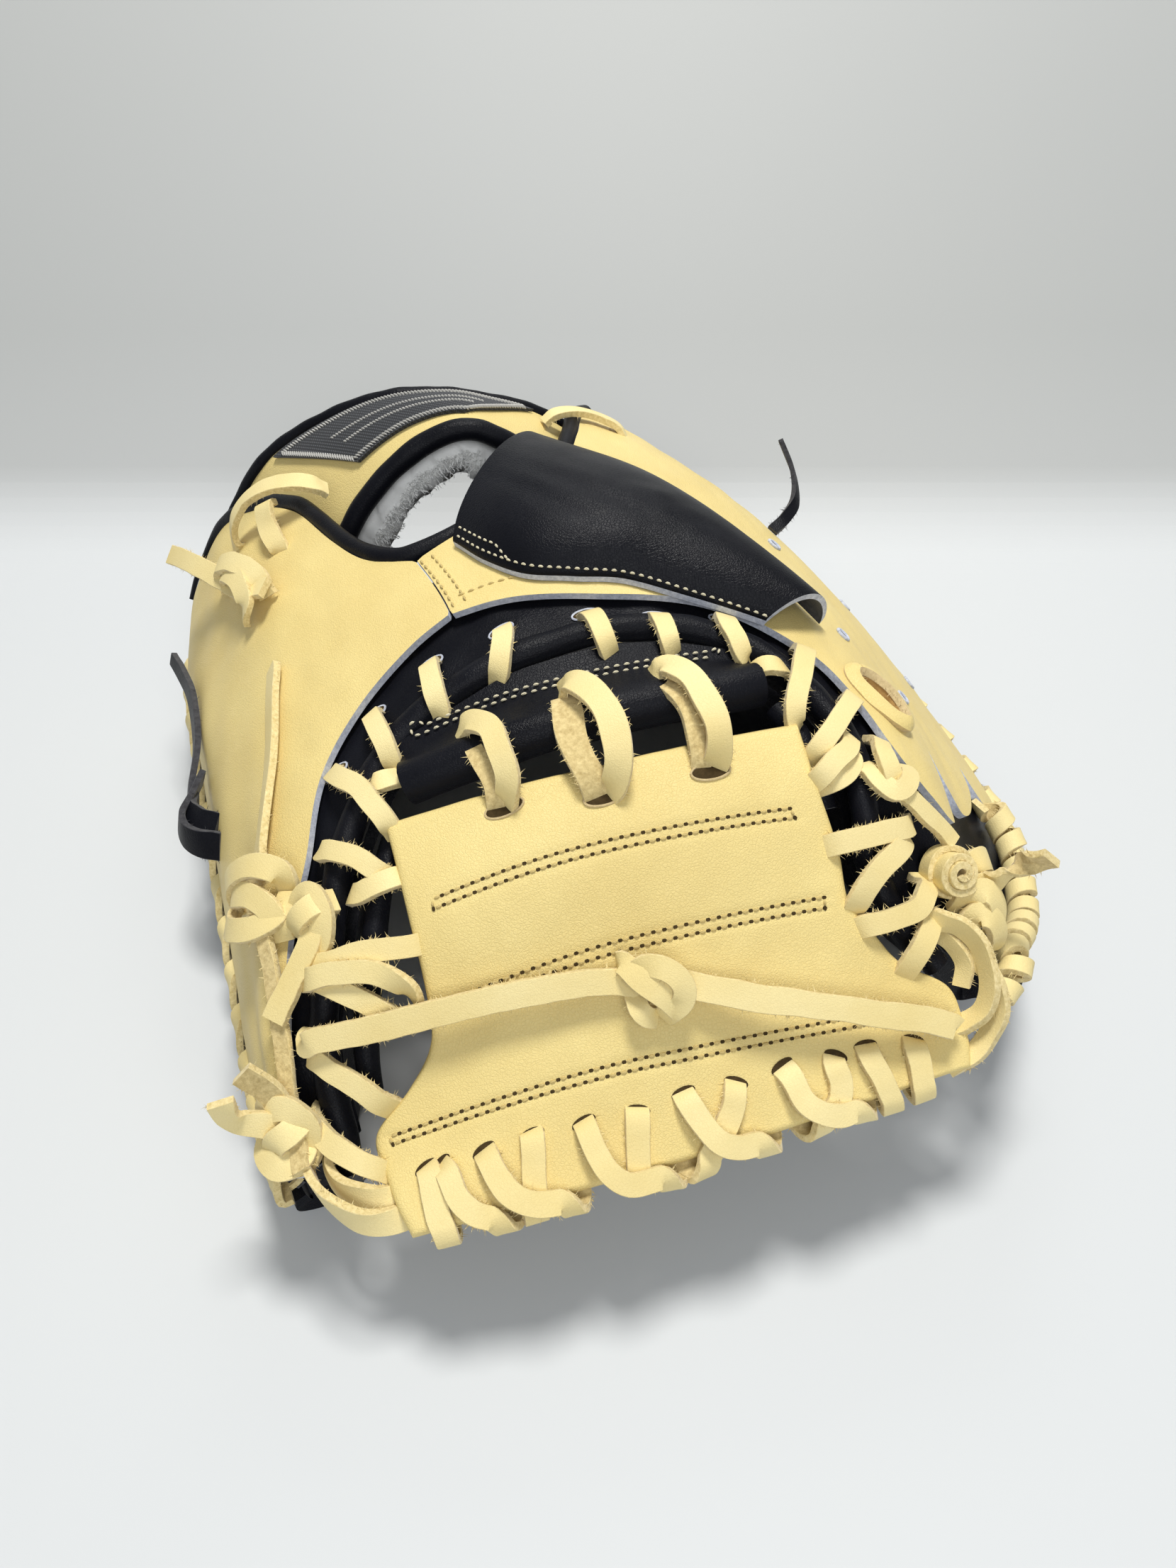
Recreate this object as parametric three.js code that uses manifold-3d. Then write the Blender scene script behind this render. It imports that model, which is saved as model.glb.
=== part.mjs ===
// Catcher's mitt, lying palm down. Millimetres, +Z up, floor at z = 0.
// X runs from the thumb (-X) to the fingers (+X), -Y is the web end, +Y is the heel.
import * as THREE from 'three';
import { mergeVertices } from 'three/addons/utils/BufferGeometryUtils.js';
import Module from 'manifold-3d';

const wasm = await Module();
wasm.setup();

// Driving dimensions
const CENTRE_X = 19;              // middle of the mitt's box in the tables' own frame
const CENTRE_Y = -3;
const HEART_X = 10;               // a line inside the hand hollow, from which pieces face away
const HEART_Z = 20;
const GAP = 0.35;                 // clearance between pieces that touch
const SHELL = 2.2;                // thickness of the back leather
const BAND_DEPTH = 4;             // how far the crotch leather lies under the back leather
const PALM_RIM = 3.2;             // palm thickness at its rim
const PALM_PAD = 7;               // padded palm thickness
const ROLL_RADIUS = 3.8;          // rolled crotch edge
const INNER_ROLL_RADIUS = 3.3;    // second roll beside the web
const ROLL_DEPTH = -2.6;          // centre of the rolled edge under the back surface
const PALM_EDGE = -11.2;          // top of the palm's edge under the rolled edge
const WELT_THICK = 2.6;           // strip along the rim that the rim lacing goes round
const WELT_HALF = 4.4;
const WELT_DEPTH = 0.4;
const WELT_END = 0.93;            // share of the rim path where the strip ends
const BINDING_RADIUS = 2.7;       // bound edges of the hand opening
const UNDER_SLEEVE = 2.6;         // how far that binding dips where the sleeve passes over it
const STRAP_ROLL_OUTER = 2.1;
const STRAP_ROLL_INNER = 3.3;
const LACE_WIDTH = 6;
const LACE_THICK = 1.9;
const WEB_THICK = 4;
const BAR_THICK = 2.4;
const BAR_TUBE = 5.6;             // radius of the folded lower edge of the web bar
const TUBE_AT = 0.76;             // middle of that edge, as a share of the bar's width
const BAR_SINK = 2;               // how deep that middle lies under the back surface
const BAR_LIP = 1;
const STRAP_THICK = 3.2;
const STRAP_CROWN = 1.2;          // bulge of the strap's middle
const STRAP_ROLL_CLEAR = 1.5;     // from the strap's edge to the roll along it
const FLEECE_THICK = 9;
const FLEECE_ACROSS = [0.14, 0.98];  // shares of the strap that the fleece covers
const FLEECE_ALONG = [0.12, 0.9];
const PATCH_THICK = 1.2;
const PATCH_ACROSS = [0.06, 0.8];
const PATCH_START = [0.33, 0.42]; // along the strap, at the patch's outer and inner edge
const PATCH_END = [0.88, 0.68];
const SLEEVE_THICK = 1.9;
const LOOP_THICK = 1.8;
const LOOP_RISE = 6;
const BINDING_CLEAR = 1.4;        // from a panel's edge to the roll along it

const BLOND = 0xe6d291;
const BLACK = 0x16161c;
const LACE = 0xead793;
const FLEECE = 0xb9b9b4;

// Sections of the back from heel to web. Each pair is x, z, from thumb rim to finger rim:
// along, thumb rim, thumb belly, thumb side, thumb shoulder, crown,
// finger shoulder, finger side, finger belly, finger rim
const BACK = [
  [152, -66, 8, -71, 24, -67, 47, -48, 75, 0, 103, 50, 93, 74, 69, 86, 36, 86, 8],
  [132, -80, 6, -86, 24, -80, 50, -56, 80, 0, 108, 56, 98, 84, 74, 98, 40, 98, 6],
  [100, -89, 6, -94, 25, -85, 54, -55, 88, 3, 114, 60, 103, 94, 80, 112, 44, 112, 6],
  [50, -92, 6, -96, 26, -86, 58, -54, 91, 8, 113, 68, 107, 105, 84, 127, 48, 130, 6],
  [5, -93, 6, -97, 26, -88, 57, -58, 87, 8, 116, 70, 109, 112, 80, 136, 46, 142, 6],
  [-35, -95, 6, -98, 24, -91, 49, -70, 78, 0, 109, 74, 106, 115, 73, 142, 40, 149, 8],
  [-75, -96, 6, -99, 22, -94, 42, -81, 61, -5, 96, 79, 97, 112, 67, 140, 36, 147, 10],
  [-105, -93, 10, -97, 21, -92, 32, -84, 38, 0, 71, 87, 75, 106, 55, 124, 35, 130, 19],
  [-128, -85, 20, -88, 27, -84, 33, -77, 37, 0, 52, 87, 57, 98, 48, 106, 40, 108, 32],
  [-150, -74, 24, -76, 29, -74, 33, -70, 35, 0, 37, 80, 42, 86, 38, 90, 34, 92, 30],
];

// Rolled crotch edge, thumb tip to finger tip: across, along
const ROLL = [
  [3.05, -117], [3.1, -104], [3.1, -89], [3.14, -76], [3.19, -58], [3.25, -43], [3.38, -29.5],
  [3.55, -22], [3.8, -20], [4.04, -20.5], [4.28, -21.5], [4.5, -24.5], [4.7, -31], [4.84, -42],
  [4.92, -57], [4.93, -73], [4.84, -87], [4.76, -98], [4.75, -108], [4.8, -116], [4.86, -122],
];
// Second rolls beside the web: across, along, lift
const INNER_ROLL_THUMB = [
  [3.23, -99, -4.8], [3.26, -90, -4.5], [3.3, -81, -4.4], [3.34, -71, -4.5], [3.37, -60, -4.8],
  [3.41, -50, -6],
];
const INNER_ROLL_FINGER = [
  [4.77, -56, -6.2], [4.775, -64, -5.2], [4.775, -74, -5.2], [4.715, -86, -5.4],
];

// Thumb panel, in rows from the thumb tip to the heel: inner across, inner along, rim along
const THUMB_ARCH = [
  [2.83, -108, -101], [2.9, -96, -91], [2.93, -80, -82], [2.97, -60, -64], [3.06, -44, -46],
  [3.12, -23, -28], [3.28, -9, -12], [3.5, 0, 2], [3.68, 3.5, 12],
];
const THUMB_SEAM = [[3.68, 3.5, 12], [3.615, 33, 36]];
const THUMB_OPENING = [
  [3.615, 33, 36], [3.42, 46, 52], [3.3, 65, 66], [3.19, 91, 84], [2.98, 111, 98],
  [2.66, 126, 110], [2.25, 129, 118], [1.8, 122, 121],
];

// Finger panel, in rows from the heel to the finger tips: inner across, inner along, rim along
const FINGER_OPENING = [
  [5.4, 117, 120], [5.05, 104, 108], [4.8, 84, 92], [4.5, 60, 72], [4.1, 42, 54], [3.622, 33, 40],
];
const FINGER_SEAM = [[3.622, 33, 40], [3.687, 3, 14]];
const FINGER_ARCH = [
  [3.687, 3, 14], [3.9, -1, 6], [4.27, -10, -4], [4.72, -20.5, -18], [5.02, -41, -30],
  [5.1, -57, -40], [5.12, -71, -52],
];
const TONGUES = 3;
const TONGUE_LENGTH = 21;
const TONGUE_TAPER = 12;          // how much shorter a tongue at the rim would be
const RIM_CLEAR = 9.4;            // from the middle of the rim lacing to the back leather

// Crotch band between rolled edge and back panels: place on the roll, outer across, outer along
const BAND = [
  [0, 2.3, -115], [1, 2.35, -106], [1.6, 2.4, -98], [2.3, 2.5, -86], [3.3, 2.62, -71],
  [4, 2.75, -50], [5, 2.85, -34], [6.1, 3, -15], [7, 3.3, 0], [8, 3.66, 9], [9, 4.04, 5],
  [10.2, 4.4, -2], [11.4, 4.82, -18], [12.6, 5.08, -30], [13.5, 5.25, -46], [14.3, 5.4, -60],
  [15.2, 5.9, -58], [16.1, 6.8, -66], [17, 6.82, -86], [18, 6.6, -99], [19, 6.1, -108],
  [20, 5.5, -115],
];
const BAND_CLEAR = 8.6;           // from the middle of the rolled edge to the crotch band

// Web bar: upper edge across, upper edge along, tube across, tube along
const BAR = [
  [3.54, -30.5, 3.51, -41], [3.7, -28.5, 3.74, -45.5], [3.87, -27, 3.99, -47.5],
  [4.04, -27.5, 4.2, -49], [4.28, -28.5, 4.42, -50.5], [4.48, -32, 4.58, -51.5],
  [4.63, -39.5, 4.71, -51.5],
];

// Web panel rows from its top to its laced bottom: thumb across, along, finger across, along, sag
const WEB = [
  [3.43, -49, 4.75, -65, -4], [3.47, -64, 4.7, -81, -1], [3.49, -80, 4.66, -94, 0],
  [3.48, -92, 4.62, -104, 0], [3.45, -98, 4.66, -112, 0], [3.36, -103, 4.72, -119, 0],
  [3.23, -108, 4.86, -126, 0], [3.19, -118, 4.9, -133, 0], [3.16, -126, 4.92, -138.5, -0.5],
  [3.15, -134, 4.92, -143.5, -2],
];

// Index finger sleeve: sewn edge across, along, far edge across, along, height of the bulge
const SLEEVE = [
  [3.79, 30, 4.47, 75, 11], [3.87, 15, 4.67, 58, 13], [4, 3, 4.84, 42, 13.5],
  [4.2, -4, 4.98, 24, 13], [4.4, -9, 5.1, 8, 11.5], [4.62, -19, 5.19, -9, 10],
  [4.88, -31, 5.27, -27, 8.5],
];

// Wrist strap from the thumb side over the wrist: outer edge x, y, z, inner edge x, y, z
const STRAP = [
  [-74, 134, 40, -50, 98, 52], [-67, 138, 58, -41, 90, 68], [-59, 138, 73, -34, 88, 82],
  [-45, 133, 92, -26, 88.5, 94], [-24, 124, 107, -14, 89.5, 106], [-5, 117, 114.5, 0, 89.5, 114.5],
  [14, 110, 116, 14, 87, 118], [28, 107, 112.5, 26, 83.5, 113.5], [44, 104.5, 106.2, 39, 81, 105],
  [61, 101.5, 93.4, 54, 79.5, 92],
];

// Palm ribs from the thumb tip round the heel to the finger tip:
// rim x, y, z, foot x, y, z, place on the rolled edge, foot length, wall height
const PALM = [
  [-88, -109, 18, -80, -109, 11, 0, 5, 25], [-95, -99, 11, -87, -98, 1.5, 1, 10, 25],
  [-97.5, -84, 11, -88, -83, 0, 2.4, 16, 34], [-97.5, -50, 13, -87, -50, 0, 4.4, 22, 48],
  [-96.5, -4, 14, -86, -6, 0, 6.2, 25, 58], [-94.5, 50, 14, -84, 50, 0, 7.1, 28, 52],
  [-90.5, 102, 14, -80, 99, 0, 7.9, 30, 46], [-70, 134, 14, -63, 124, 0, 8.5, 30, 42],
  [0, 143, 14, 0, 131, 0, 9.2, 32, 42], [78, 136, 17, 69, 124, 0, 9.9, 30, 44],
  [114, 101, 23, 101, 97, 0, 10.7, 30, 48], [131, 50, 26, 118, 49, 0, 11.6, 30, 54],
  [142.5, 0, 25, 128, 0, 0, 12.6, 32, 60], [148.5, -44, 23, 134, -44, 0, 14, 32, 62],
  [145.5, -80, 21, 130, -79, 3, 15.6, 28, 56], [130, -103, 24.5, 118, -103, 13, 17, 16, 52],
  [112, -122, 35, 105, -116, 26, 18.6, 9, 48], [97, -131, 42, 95, -123, 36, 19.8, 5, 50],
];

// Middle of the rim lacing from the heel to the tip: across, along
const RIM_THUMB = [
  [0.88, 114], [0.9, 75], [0.92, 35], [0.95, -5], [0.95, -45], [0.95, -80], [0.98, -94], [1.08, -105],
];
const RIM_FINGER = [
  [7.2, 114], [7.2, 75], [7.16, 35], [7.15, -5], [7.13, -45], [7.14, -80], [7.05, -96],
  [6.8, -106], [6.4, -114], [5.95, -120],
];
const WEB_FOOT = [
  [3.15, -134], [3.45, -137], [3.75, -139.5], [4.05, -142], [4.35, -142.5], [4.65, -143.5],
  [4.92, -143.5],
];

// Lacing over an edge: place of the outer end, place of the inner end, how far in it reaches.
// Places are counted in rows of the edge's table.
const ARCH_WRAPS = [
  [5.05, 4.3, 5.6], [5.75, 5.15, 5.6], [6.05, 6.2, 5.6], [7.15, 7.2, 5.6], [8.2, 8.3, 5.6],
  [9.85, 9.95, 5.6], [10.9, 11, 5.6], [12, 12.1, 5.6], [12.9, 13.8, 5.6], [14.1, 14.8, 5.6],
];
const THUMB_WRAPS = [
  [3.4, 3.05, 31], [2.9, 2.3, 31.5], [2.1, 1.55, 26.5], [1.3, 0.9, 14.5],
];
const FINGER_WRAPS = [[16.4, 16.7, 14.1], [16.8, 17.6, 14.6], [17.8, 18.2, 12.8], [18.3, 18.6, 12]];
const WEB_WRAPS = [
  [0.3, 0.38, 3.3], [0.52, 0.8, 3.3], [1.18, 1.5, 3.3], [1.56, 1.62, 3.3], [2.05, 2.37, 3.3],
  [2.53, 2.58, 3.3], [3.05, 3.36, 3.3], [3.54, 3.6, 3.3], [4.06, 4.32, 3.3], [4.44, 4.5, 3.3],
  [4.82, 5.1, 3.3], [5.34, 5.4, 3.3],
];
const RIM_WRAPS = 14;

// Section of a lacing turn: share of the way in, distance added to it, lift, tilt in degrees
const OVER_ROLL = [
  [0, 0, -2.6, -90], [0, 1.3, 3.5, -35], [1, -1.3, 3.5, 35], [1, 0, -2.6, 90],
  [1, -1.3, -8.8, 145], [0, 1.3, -8.8, 215],
];
const OVER_SIDE = [
  [0, 0, -2.6, -90], [0, 1.3, 3.5, -35], [1, -9.3, 3, 25], [1, -5.1, -4.7, 50], [1, 0, -7.2, 90],
  [1, -5, -9.9, 165], [0, 1.3, -9.1, 205],
];
const OVER_SHEET = [
  [0, 0, 0.2, -90], [0, 0.9, 4.3, -30], [1, -1.3, 4.3, 30], [1, 0, 0.2, 90], [1, -1.3, -4.1, 150],
  [0, 0.9, -4.1, 210],
];
const OVER_WELT = [
  [0, 0, -1.7, -90], [0, 1.1, 2.4, -45], [1, -1.1, 2.4, 45], [1, 0, -1.7, 90],
  [1, -1.1, -5.4, 135], [0, 1.1, -5.4, 225],
];
const HOLE_OUT = 6;               // from the middle of the rolled edge to the lacing round it
const WEB_HOLE_OUT = 10.5;
const SLOT_MORE = 3;
const SLOT_LONG = 4.8;
const SLOT_DEEP = 13;
const WELT_OUT = 7.4;

// Knots with their loose ends. Knot: across, along, lift, size x, y, z, turn in degrees.
// Loose end, a row per bend: across, along, lift, tilt in degrees.
const KNOTS = {
  web_knot: {
    lump: [4.04, -106, 6.4, 19, 13, 7, -25],
    ends: [
      [[4, -105, 5.4, 0], [3.79, -99, 4.8, 0], [3.54, -94, 4.6, 0], [3.38, -90, 6.6, 0],
        [3.22, -86.5, 6.6, 0], [3.09, -83.5, 6.2, 0]],
      [[4.1, -108, 5.4, 0], [4.26, -112, 4.8, 0], [4.45, -119, 4.6, 0], [4.64, -127, 5.8, 0],
        [4.84, -134.5, 7.6, 0]],
    ],
  },
  thumb_knot: {
    lump: [2.64, -44, 4.8, 12, 15, 8, 0],
    ends: [
      [[2.62, -38, 3, 0], [2.58, -28, 1.8, 0], [2.68, 0, 1.8, 0], [2.8, 28, 1.8, 0]],
      [[2.66, -50, 3, 0], [2.81, -58, 1.8, 0], [2.84, -71, 1.8, 0], [2.88, -88, 1.8, 0],
        [2.8, -100, 2.5, 0], [2.74, -110, 4, 0]],
    ],
  },
  edge_knot: {
    lump: [3, -58, 3.1, 9, 9, 6, 0],
    ends: [[[2.99, -60, 3.8, 0], [2.93, -67, 4.8, 0], [2.87, -71.5, 5.4, 0], [2.8, -77, 5, 0]]],
  },
  tip_knot: {
    lump: [2.56, -93.5, 6, 11, 13, 8, 0],
    ends: [
      [[2.52, -95, 7.5, 0], [2.42, -98, 12, 0], [2.25, -95, 15.5, 0], [2.1, -89, 17, 0],
        [2, -82, 18, 0]],
      [[2.5, -92, 8, 0], [2.35, -86, 11, 0], [2.25, -80, 12.5, 0]],
    ],
  },
  opening_knot: {
    lump: [2.72, 78, 4.6, 12, 12, 9, 0],
    ends: [
      [[2.66, 81, 5, 0], [2.5, 89, 8, 0], [2.4, 96, 15, 0]],
      [[2.76, 75, 5, 0], [2.84, 68, 3, 0]],
    ],
  },
  finger_knot: { lump: [5.07, -103, -0.8, 11, 11, 8, 0], ends: [] },
  finger_tip_knot: {
    lump: [5.2, -114, 0.4, 11, 9, 8, 0],
    ends: [[[5.3, -113, 3, 0], [5.5, -112, 9, 0], [5.65, -111, 16, 0], [5.8, -110.5, 23, 0]]],
  },
  finger_edge_knot: {
    lump: [5.03, -81, -1.6, 8, 8, 4, 20],
    ends: [[[5.04, -83, -1.8, 0], [5.09, -88, -2.2, 0], [5.17, -95.5, -2.2, 0]]],
  },
};
const TOP_LACE = [
  [3.76, -58, -4, 0], [3.78, -63, 2.5, 60], [3.8, -60, 7, 80], [3.82, -52, 10, 70],
  [3.8, -42, 9, 40], [3.78, -37, 4, 10], [3.82, -38, -6, 0], [4, -40, -10.5, 0],
  [4.08, -40, -9, 0], [4.1, -38, -2, 0], [4.11, -38.5, 7, 10], [4.13, -48, 11, 10],
  [4.14, -62, 8, 5], [4.13, -70, 0, 0], [4.18, -70, -5, 0], [4.36, -70, -5, 0], [4.42, -71, 0, 0],
  [4.43, -62, 8, -20], [4.45, -48, 10, -30], [4.45, -40, 7, -20], [4.46, -38, -3, 0],
];
const CORNER_THUMB = [
  [2.96, -102.5, -0.3, 75], [2.94, -107, 1.5, 75], [2.92, -114, 2, 75], [2.95, -121, 1, 75],
  [3.03, -126, -2, 60], [3.13, -127, -5.5, 30], [3.28, -125, -6.2, 0],
];
const CORNER_FINGER = [
  [4.96, -112, 0.2, 75], [5.07, -118, 2, 75], [5.16, -125, 2.5, 75], [5.16, -131, 1.5, 75],
  [5.06, -136, -1, 60], [4.9, -137.5, -5.5, 30], [4.75, -136, -6.5, 0],
];
const STRAP_LACE_THUMB = [
  [2.84, 87, 1.3, 0], [2.9, 98, 6, 0], [2.98, 106, 8.5, 0], [3.08, 111, 8, 0], [3.2, 112, 3, 0],
  [3.3, 109, -1.1, 0], [3.37, 104, -3.2, 0],
];
const STRAP_LACE_FINGER = [
  [4.72, 103, -0.2, 0], [4.82, 106, 5, 0], [5.02, 107, 6.2, 0], [5.22, 104, 4, 0],
  [5.4, 97, 1.3, 0],
];
const SIDE_CORD = [[1.62, 18, 3.2, 0], [1.9, 38, 1.8, 0], [1.98, 60, 1.8, 0], [1.9, 82, 2.6, 0]];
const SIDE_CORD_KNOT = [1.6, 12, 4.2, 8, 18, 8, 0];
const LOOSE_CORD = [
  [6.05, 42, 0.8, 0], [6.08, 48, 10, 0], [6.05, 54, 18.5, 0], [5.95, 61, 23, 0], [5.85, 69, 28, 0],
];
const CORD_WIDTH = 4;

// Small mathematics
const V = (x, y, z) => new THREE.Vector3(x, y, z);
const mix = (a, b, f) => a + (b - a) * f;
const clamp = (x, a, b) => Math.min(Math.max(x, a), b);
const steps = (n, from = 0, to = 1) =>
  Array.from({ length: n + 1 }, (_, i) => from + (to - from) * i / n);

// Smooth curve through the rows of a table, at position t counted in rows
function through(rows, t) {
  const last = rows.length - 1;
  const i = Math.min(Math.floor(clamp(t, 0, last)), last - 1);
  const f = clamp(t, 0, last) - i;
  return rows[i].map((_, k) => {
    const b = rows[i][k];
    const c = rows[i + 1][k];
    const a = i > 0 ? rows[i - 1][k] : 2 * b - c;
    const d = i + 2 <= last ? rows[i + 2][k] : 2 * c - b;
    return 0.5 * (2 * b + (c - a) * f + (2 * a - 5 * b + 4 * c - d) * f * f
      + (3 * b - a - 3 * c + d) * f * f * f);
  });
}
const share = (rows, f) => through(rows, f * (rows.length - 1));

// A table in stretches with sharp corners between them, at share f of the whole
function chain(stretches, f) {
  const spans = stretches.map((rows) => rows.length - 1);
  let t = clamp(f, 0, 1) * spans.reduce((a, b) => a + b, 0);
  for (let i = 0; i < stretches.length; i += 1) {
    if (t <= spans[i] || i === stretches.length - 1) return through(stretches[i], t);
    t -= spans[i];
  }
  return null;
}

// Section of the back at a given place along, as pairs of x, z
function section(along) {
  const y = clamp(along, BACK[BACK.length - 1][0], BACK[0][0]);
  let i = 0;
  while (i < BACK.length - 2 && y < BACK[i + 1][0]) i += 1;
  const h = BACK[i + 1][0] - BACK[i][0];
  const f = (y - BACK[i][0]) / h;
  const slope = (k, c) => {
    const a = BACK[Math.max(k - 1, 0)];
    const b = BACK[Math.min(k + 1, BACK.length - 1)];
    return (b[c] - a[c]) / (b[0] - a[0]);
  };
  const pairs = [];
  for (let c = 1; c < BACK[0].length; c += 2) {
    pairs.push([c, c + 1].map((k) =>
      (2 * f ** 3 - 3 * f ** 2 + 1) * BACK[i][k] + (f ** 3 - 2 * f ** 2 + f) * h * slope(i, k)
      + (3 * f ** 2 - 2 * f ** 3) * BACK[i + 1][k] + (f ** 3 - f ** 2) * h * slope(i + 1, k)));
  }
  return pairs;
}

// Point of the back surface, raised by lift along its normal
function bare(across, along) {
  const [x, z] = through(section(along), across);
  return V(x, along, z);
}
function normalAt(across, along) {
  const e = 0.02;
  const du = bare(across + e, along).sub(bare(across - e, along));
  const dv = bare(across, along + 1).sub(bare(across, along - 1));
  return du.cross(dv).normalize();
}
function back(across, along, lift = 0) {
  return bare(across, along).addScaledVector(normalAt(across, along), lift);
}

// Closed mesh from vertices and triangles, turned so that its faces point out
function closed(points, faces) {
  let volume = 0;
  for (const [a, b, c] of faces) volume += points[a].dot(points[b].clone().cross(points[c]));
  const index = faces.flatMap(([a, b, c]) => (volume > 0 ? [a, b, c] : [a, c, b]));
  const geometry = new THREE.BufferGeometry();
  geometry.setAttribute('position',
    new THREE.Float32BufferAttribute(points.flatMap((p) => [p.x, p.y, p.z]), 3));
  geometry.setIndex(index);
  return geometry;
}

// Slab over a surface place(s, t): top and bottom are offsets along its normal
function slab(ss, ts, place, top, bottom) {
  const e = 1e-3;
  const outer = [];
  const inner = [];
  for (const t of ts) {
    for (const s of ss) {
      const p = place(s, t);
      const ds = place(s + e, t).sub(place(s - e, t));
      const dt = place(s, t + e).sub(place(s, t - e));
      const n = ds.cross(dt).normalize();
      if (n.dot(p.clone().sub(V(HEART_X, p.y, HEART_Z))) < 0) n.negate();
      outer.push(p.clone().addScaledVector(n, top(s, t)));
      inner.push(p.clone().addScaledVector(n, bottom(s, t)));
    }
  }
  return between(outer, inner, ss.length, ts.length);
}

// Solid between two grids of points with the same rows and columns
function between(outer, inner, cols, rows) {
  const n = outer.length;
  const faces = [];
  const quad = (a, b, c, d) => faces.push([a, b, c], [a, c, d]);
  for (let j = 0; j < rows - 1; j += 1) {
    for (let i = 0; i < cols - 1; i += 1) {
      const a = j * cols + i;
      quad(a, a + 1, a + cols + 1, a + cols);
      quad(n + a, n + a + cols, n + a + cols + 1, n + a + 1);
    }
  }
  for (let i = 0; i < cols - 1; i += 1) {
    const b = (rows - 1) * cols + i;
    quad(i + 1, i, n + i, n + i + 1);
    quad(b, b + 1, n + b + 1, n + b);
  }
  for (let j = 0; j < rows - 1; j += 1) {
    const a = j * cols;
    const b = a + cols - 1;
    quad(a, a + cols, n + a + cols, n + a);
    quad(b + cols, b, n + b, n + b + cols);
  }
  return closed([...outer, ...inner], faces);
}

// Flat lace along points, each with the direction that its smooth side faces
function ribbon(points, faces, width = LACE_WIDTH, thick = LACE_THICK) {
  const corners = [];
  points.forEach((p, i) => {
    const a = points[Math.max(i - 1, 0)];
    const b = points[Math.min(i + 1, points.length - 1)];
    const t = b.clone().sub(a).normalize();
    const n = faces[i].clone().addScaledVector(t, -faces[i].dot(t)).normalize();
    const w = t.clone().cross(n);
    for (const [x, y] of [[1, 1], [-1, 1], [-1, -1], [1, -1]]) {
      corners.push(p.clone().addScaledVector(w, x * width / 2).addScaledVector(n, y * thick / 2));
    }
  });
  const tris = [[0, 1, 2], [0, 2, 3]];
  const last = (points.length - 1) * 4;
  tris.push([last, last + 2, last + 1], [last, last + 3, last + 2]);
  for (let i = 0; i < points.length - 1; i += 1) {
    for (let k = 0; k < 4; k += 1) {
      const a = i * 4 + k;
      const b = i * 4 + (k + 1) % 4;
      tris.push([a, a + 4, b + 4], [a, b + 4, b]);
    }
  }
  return closed(corners, tris);
}

// Lace lying on the back: rows of across, along, lift and turn in degrees about its length
function lace(rows, count, grow = 0, width = LACE_WIDTH) {
  const points = [];
  const faces = [];
  for (const f of steps(count)) {
    const [across, along, lift, turn] = share(rows, f);
    const ahead = share(rows, Math.min(f + 0.01, 1));
    const behind = share(rows, Math.max(f - 0.01, 0));
    const t = back(ahead[0], ahead[1], ahead[2]).sub(back(behind[0], behind[1], behind[2])).normalize();
    points.push(back(across, along, lift));
    faces.push(normalAt(across, along).applyAxisAngle(t, THREE.MathUtils.degToRad(turn || 0)));
  }
  return ribbon(points, faces, width + 2 * grow, LACE_THICK + 2 * grow);
}

// Place on an edge moved out over the edge by a distance: across, along and the way out there
function beside(rows, at, distance) {
  const place = (t) => {
    const [u, v] = through(rows, clamp(t, 0, rows.length - 1));
    return back(u, v);
  };
  const t = place(at + 0.05).sub(place(at - 0.05)).normalize();
  let [u, v] = through(rows, at);
  const out = normalAt(u, v).cross(t).normalize();
  const parts = Math.max(1, Math.ceil(Math.abs(distance) / 3));
  for (let i = 0; i < parts; i += 1) {
    const du = bare(u + 0.01, v).sub(bare(u - 0.01, v)).divideScalar(0.02);
    const dv = bare(u, v + 0.5).sub(bare(u, v - 0.5));
    const skew = dv.dot(du) / du.lengthSq();
    const square = dv.clone().addScaledVector(du, -skew);
    const more = distance / parts * out.dot(square) / square.lengthSq();
    u += distance / parts * out.dot(du) / du.lengthSq() - more * skew;
    v += more;
  }
  return { u, v, out };
}

// Lacing wound over an edge, with a straight stretch from its outer to its inner end
function winding(edge, wraps, out, turn, grow = 0) {
  const points = [];
  const faces = [];
  const outer = wraps.map(([at]) => beside(edge, at, out));
  const inner = wraps.map(([, at, reach]) => beside(edge, at, -reach));
  const returning = turn.findIndex(([way, more]) => way === 1 && more === 0) + 1;
  wraps.forEach((_, i) => {
    turn.forEach(([way, more, lift, tilt], k) => {
      const o = outer[k < returning ? i : i + 1];
      if (!o) return;
      const a = inner[i];
      const f = way + more / back(a.u, a.v).distanceTo(back(o.u, o.v));
      const [u, v] = [mix(o.u, a.u, f), mix(o.v, a.v, f)];
      const n = normalAt(u, v);
      const inward = o.out.clone().lerp(a.out, f).negate();
      const rad = THREE.MathUtils.degToRad(tilt);
      points.push(back(u, v, lift));
      faces.push(n.multiplyScalar(Math.cos(rad)).addScaledVector(inward, Math.sin(rad)));
    });
  });
  return ribbon(points, faces, LACE_WIDTH + 2 * grow, LACE_THICK + 2 * grow);
}

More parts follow.
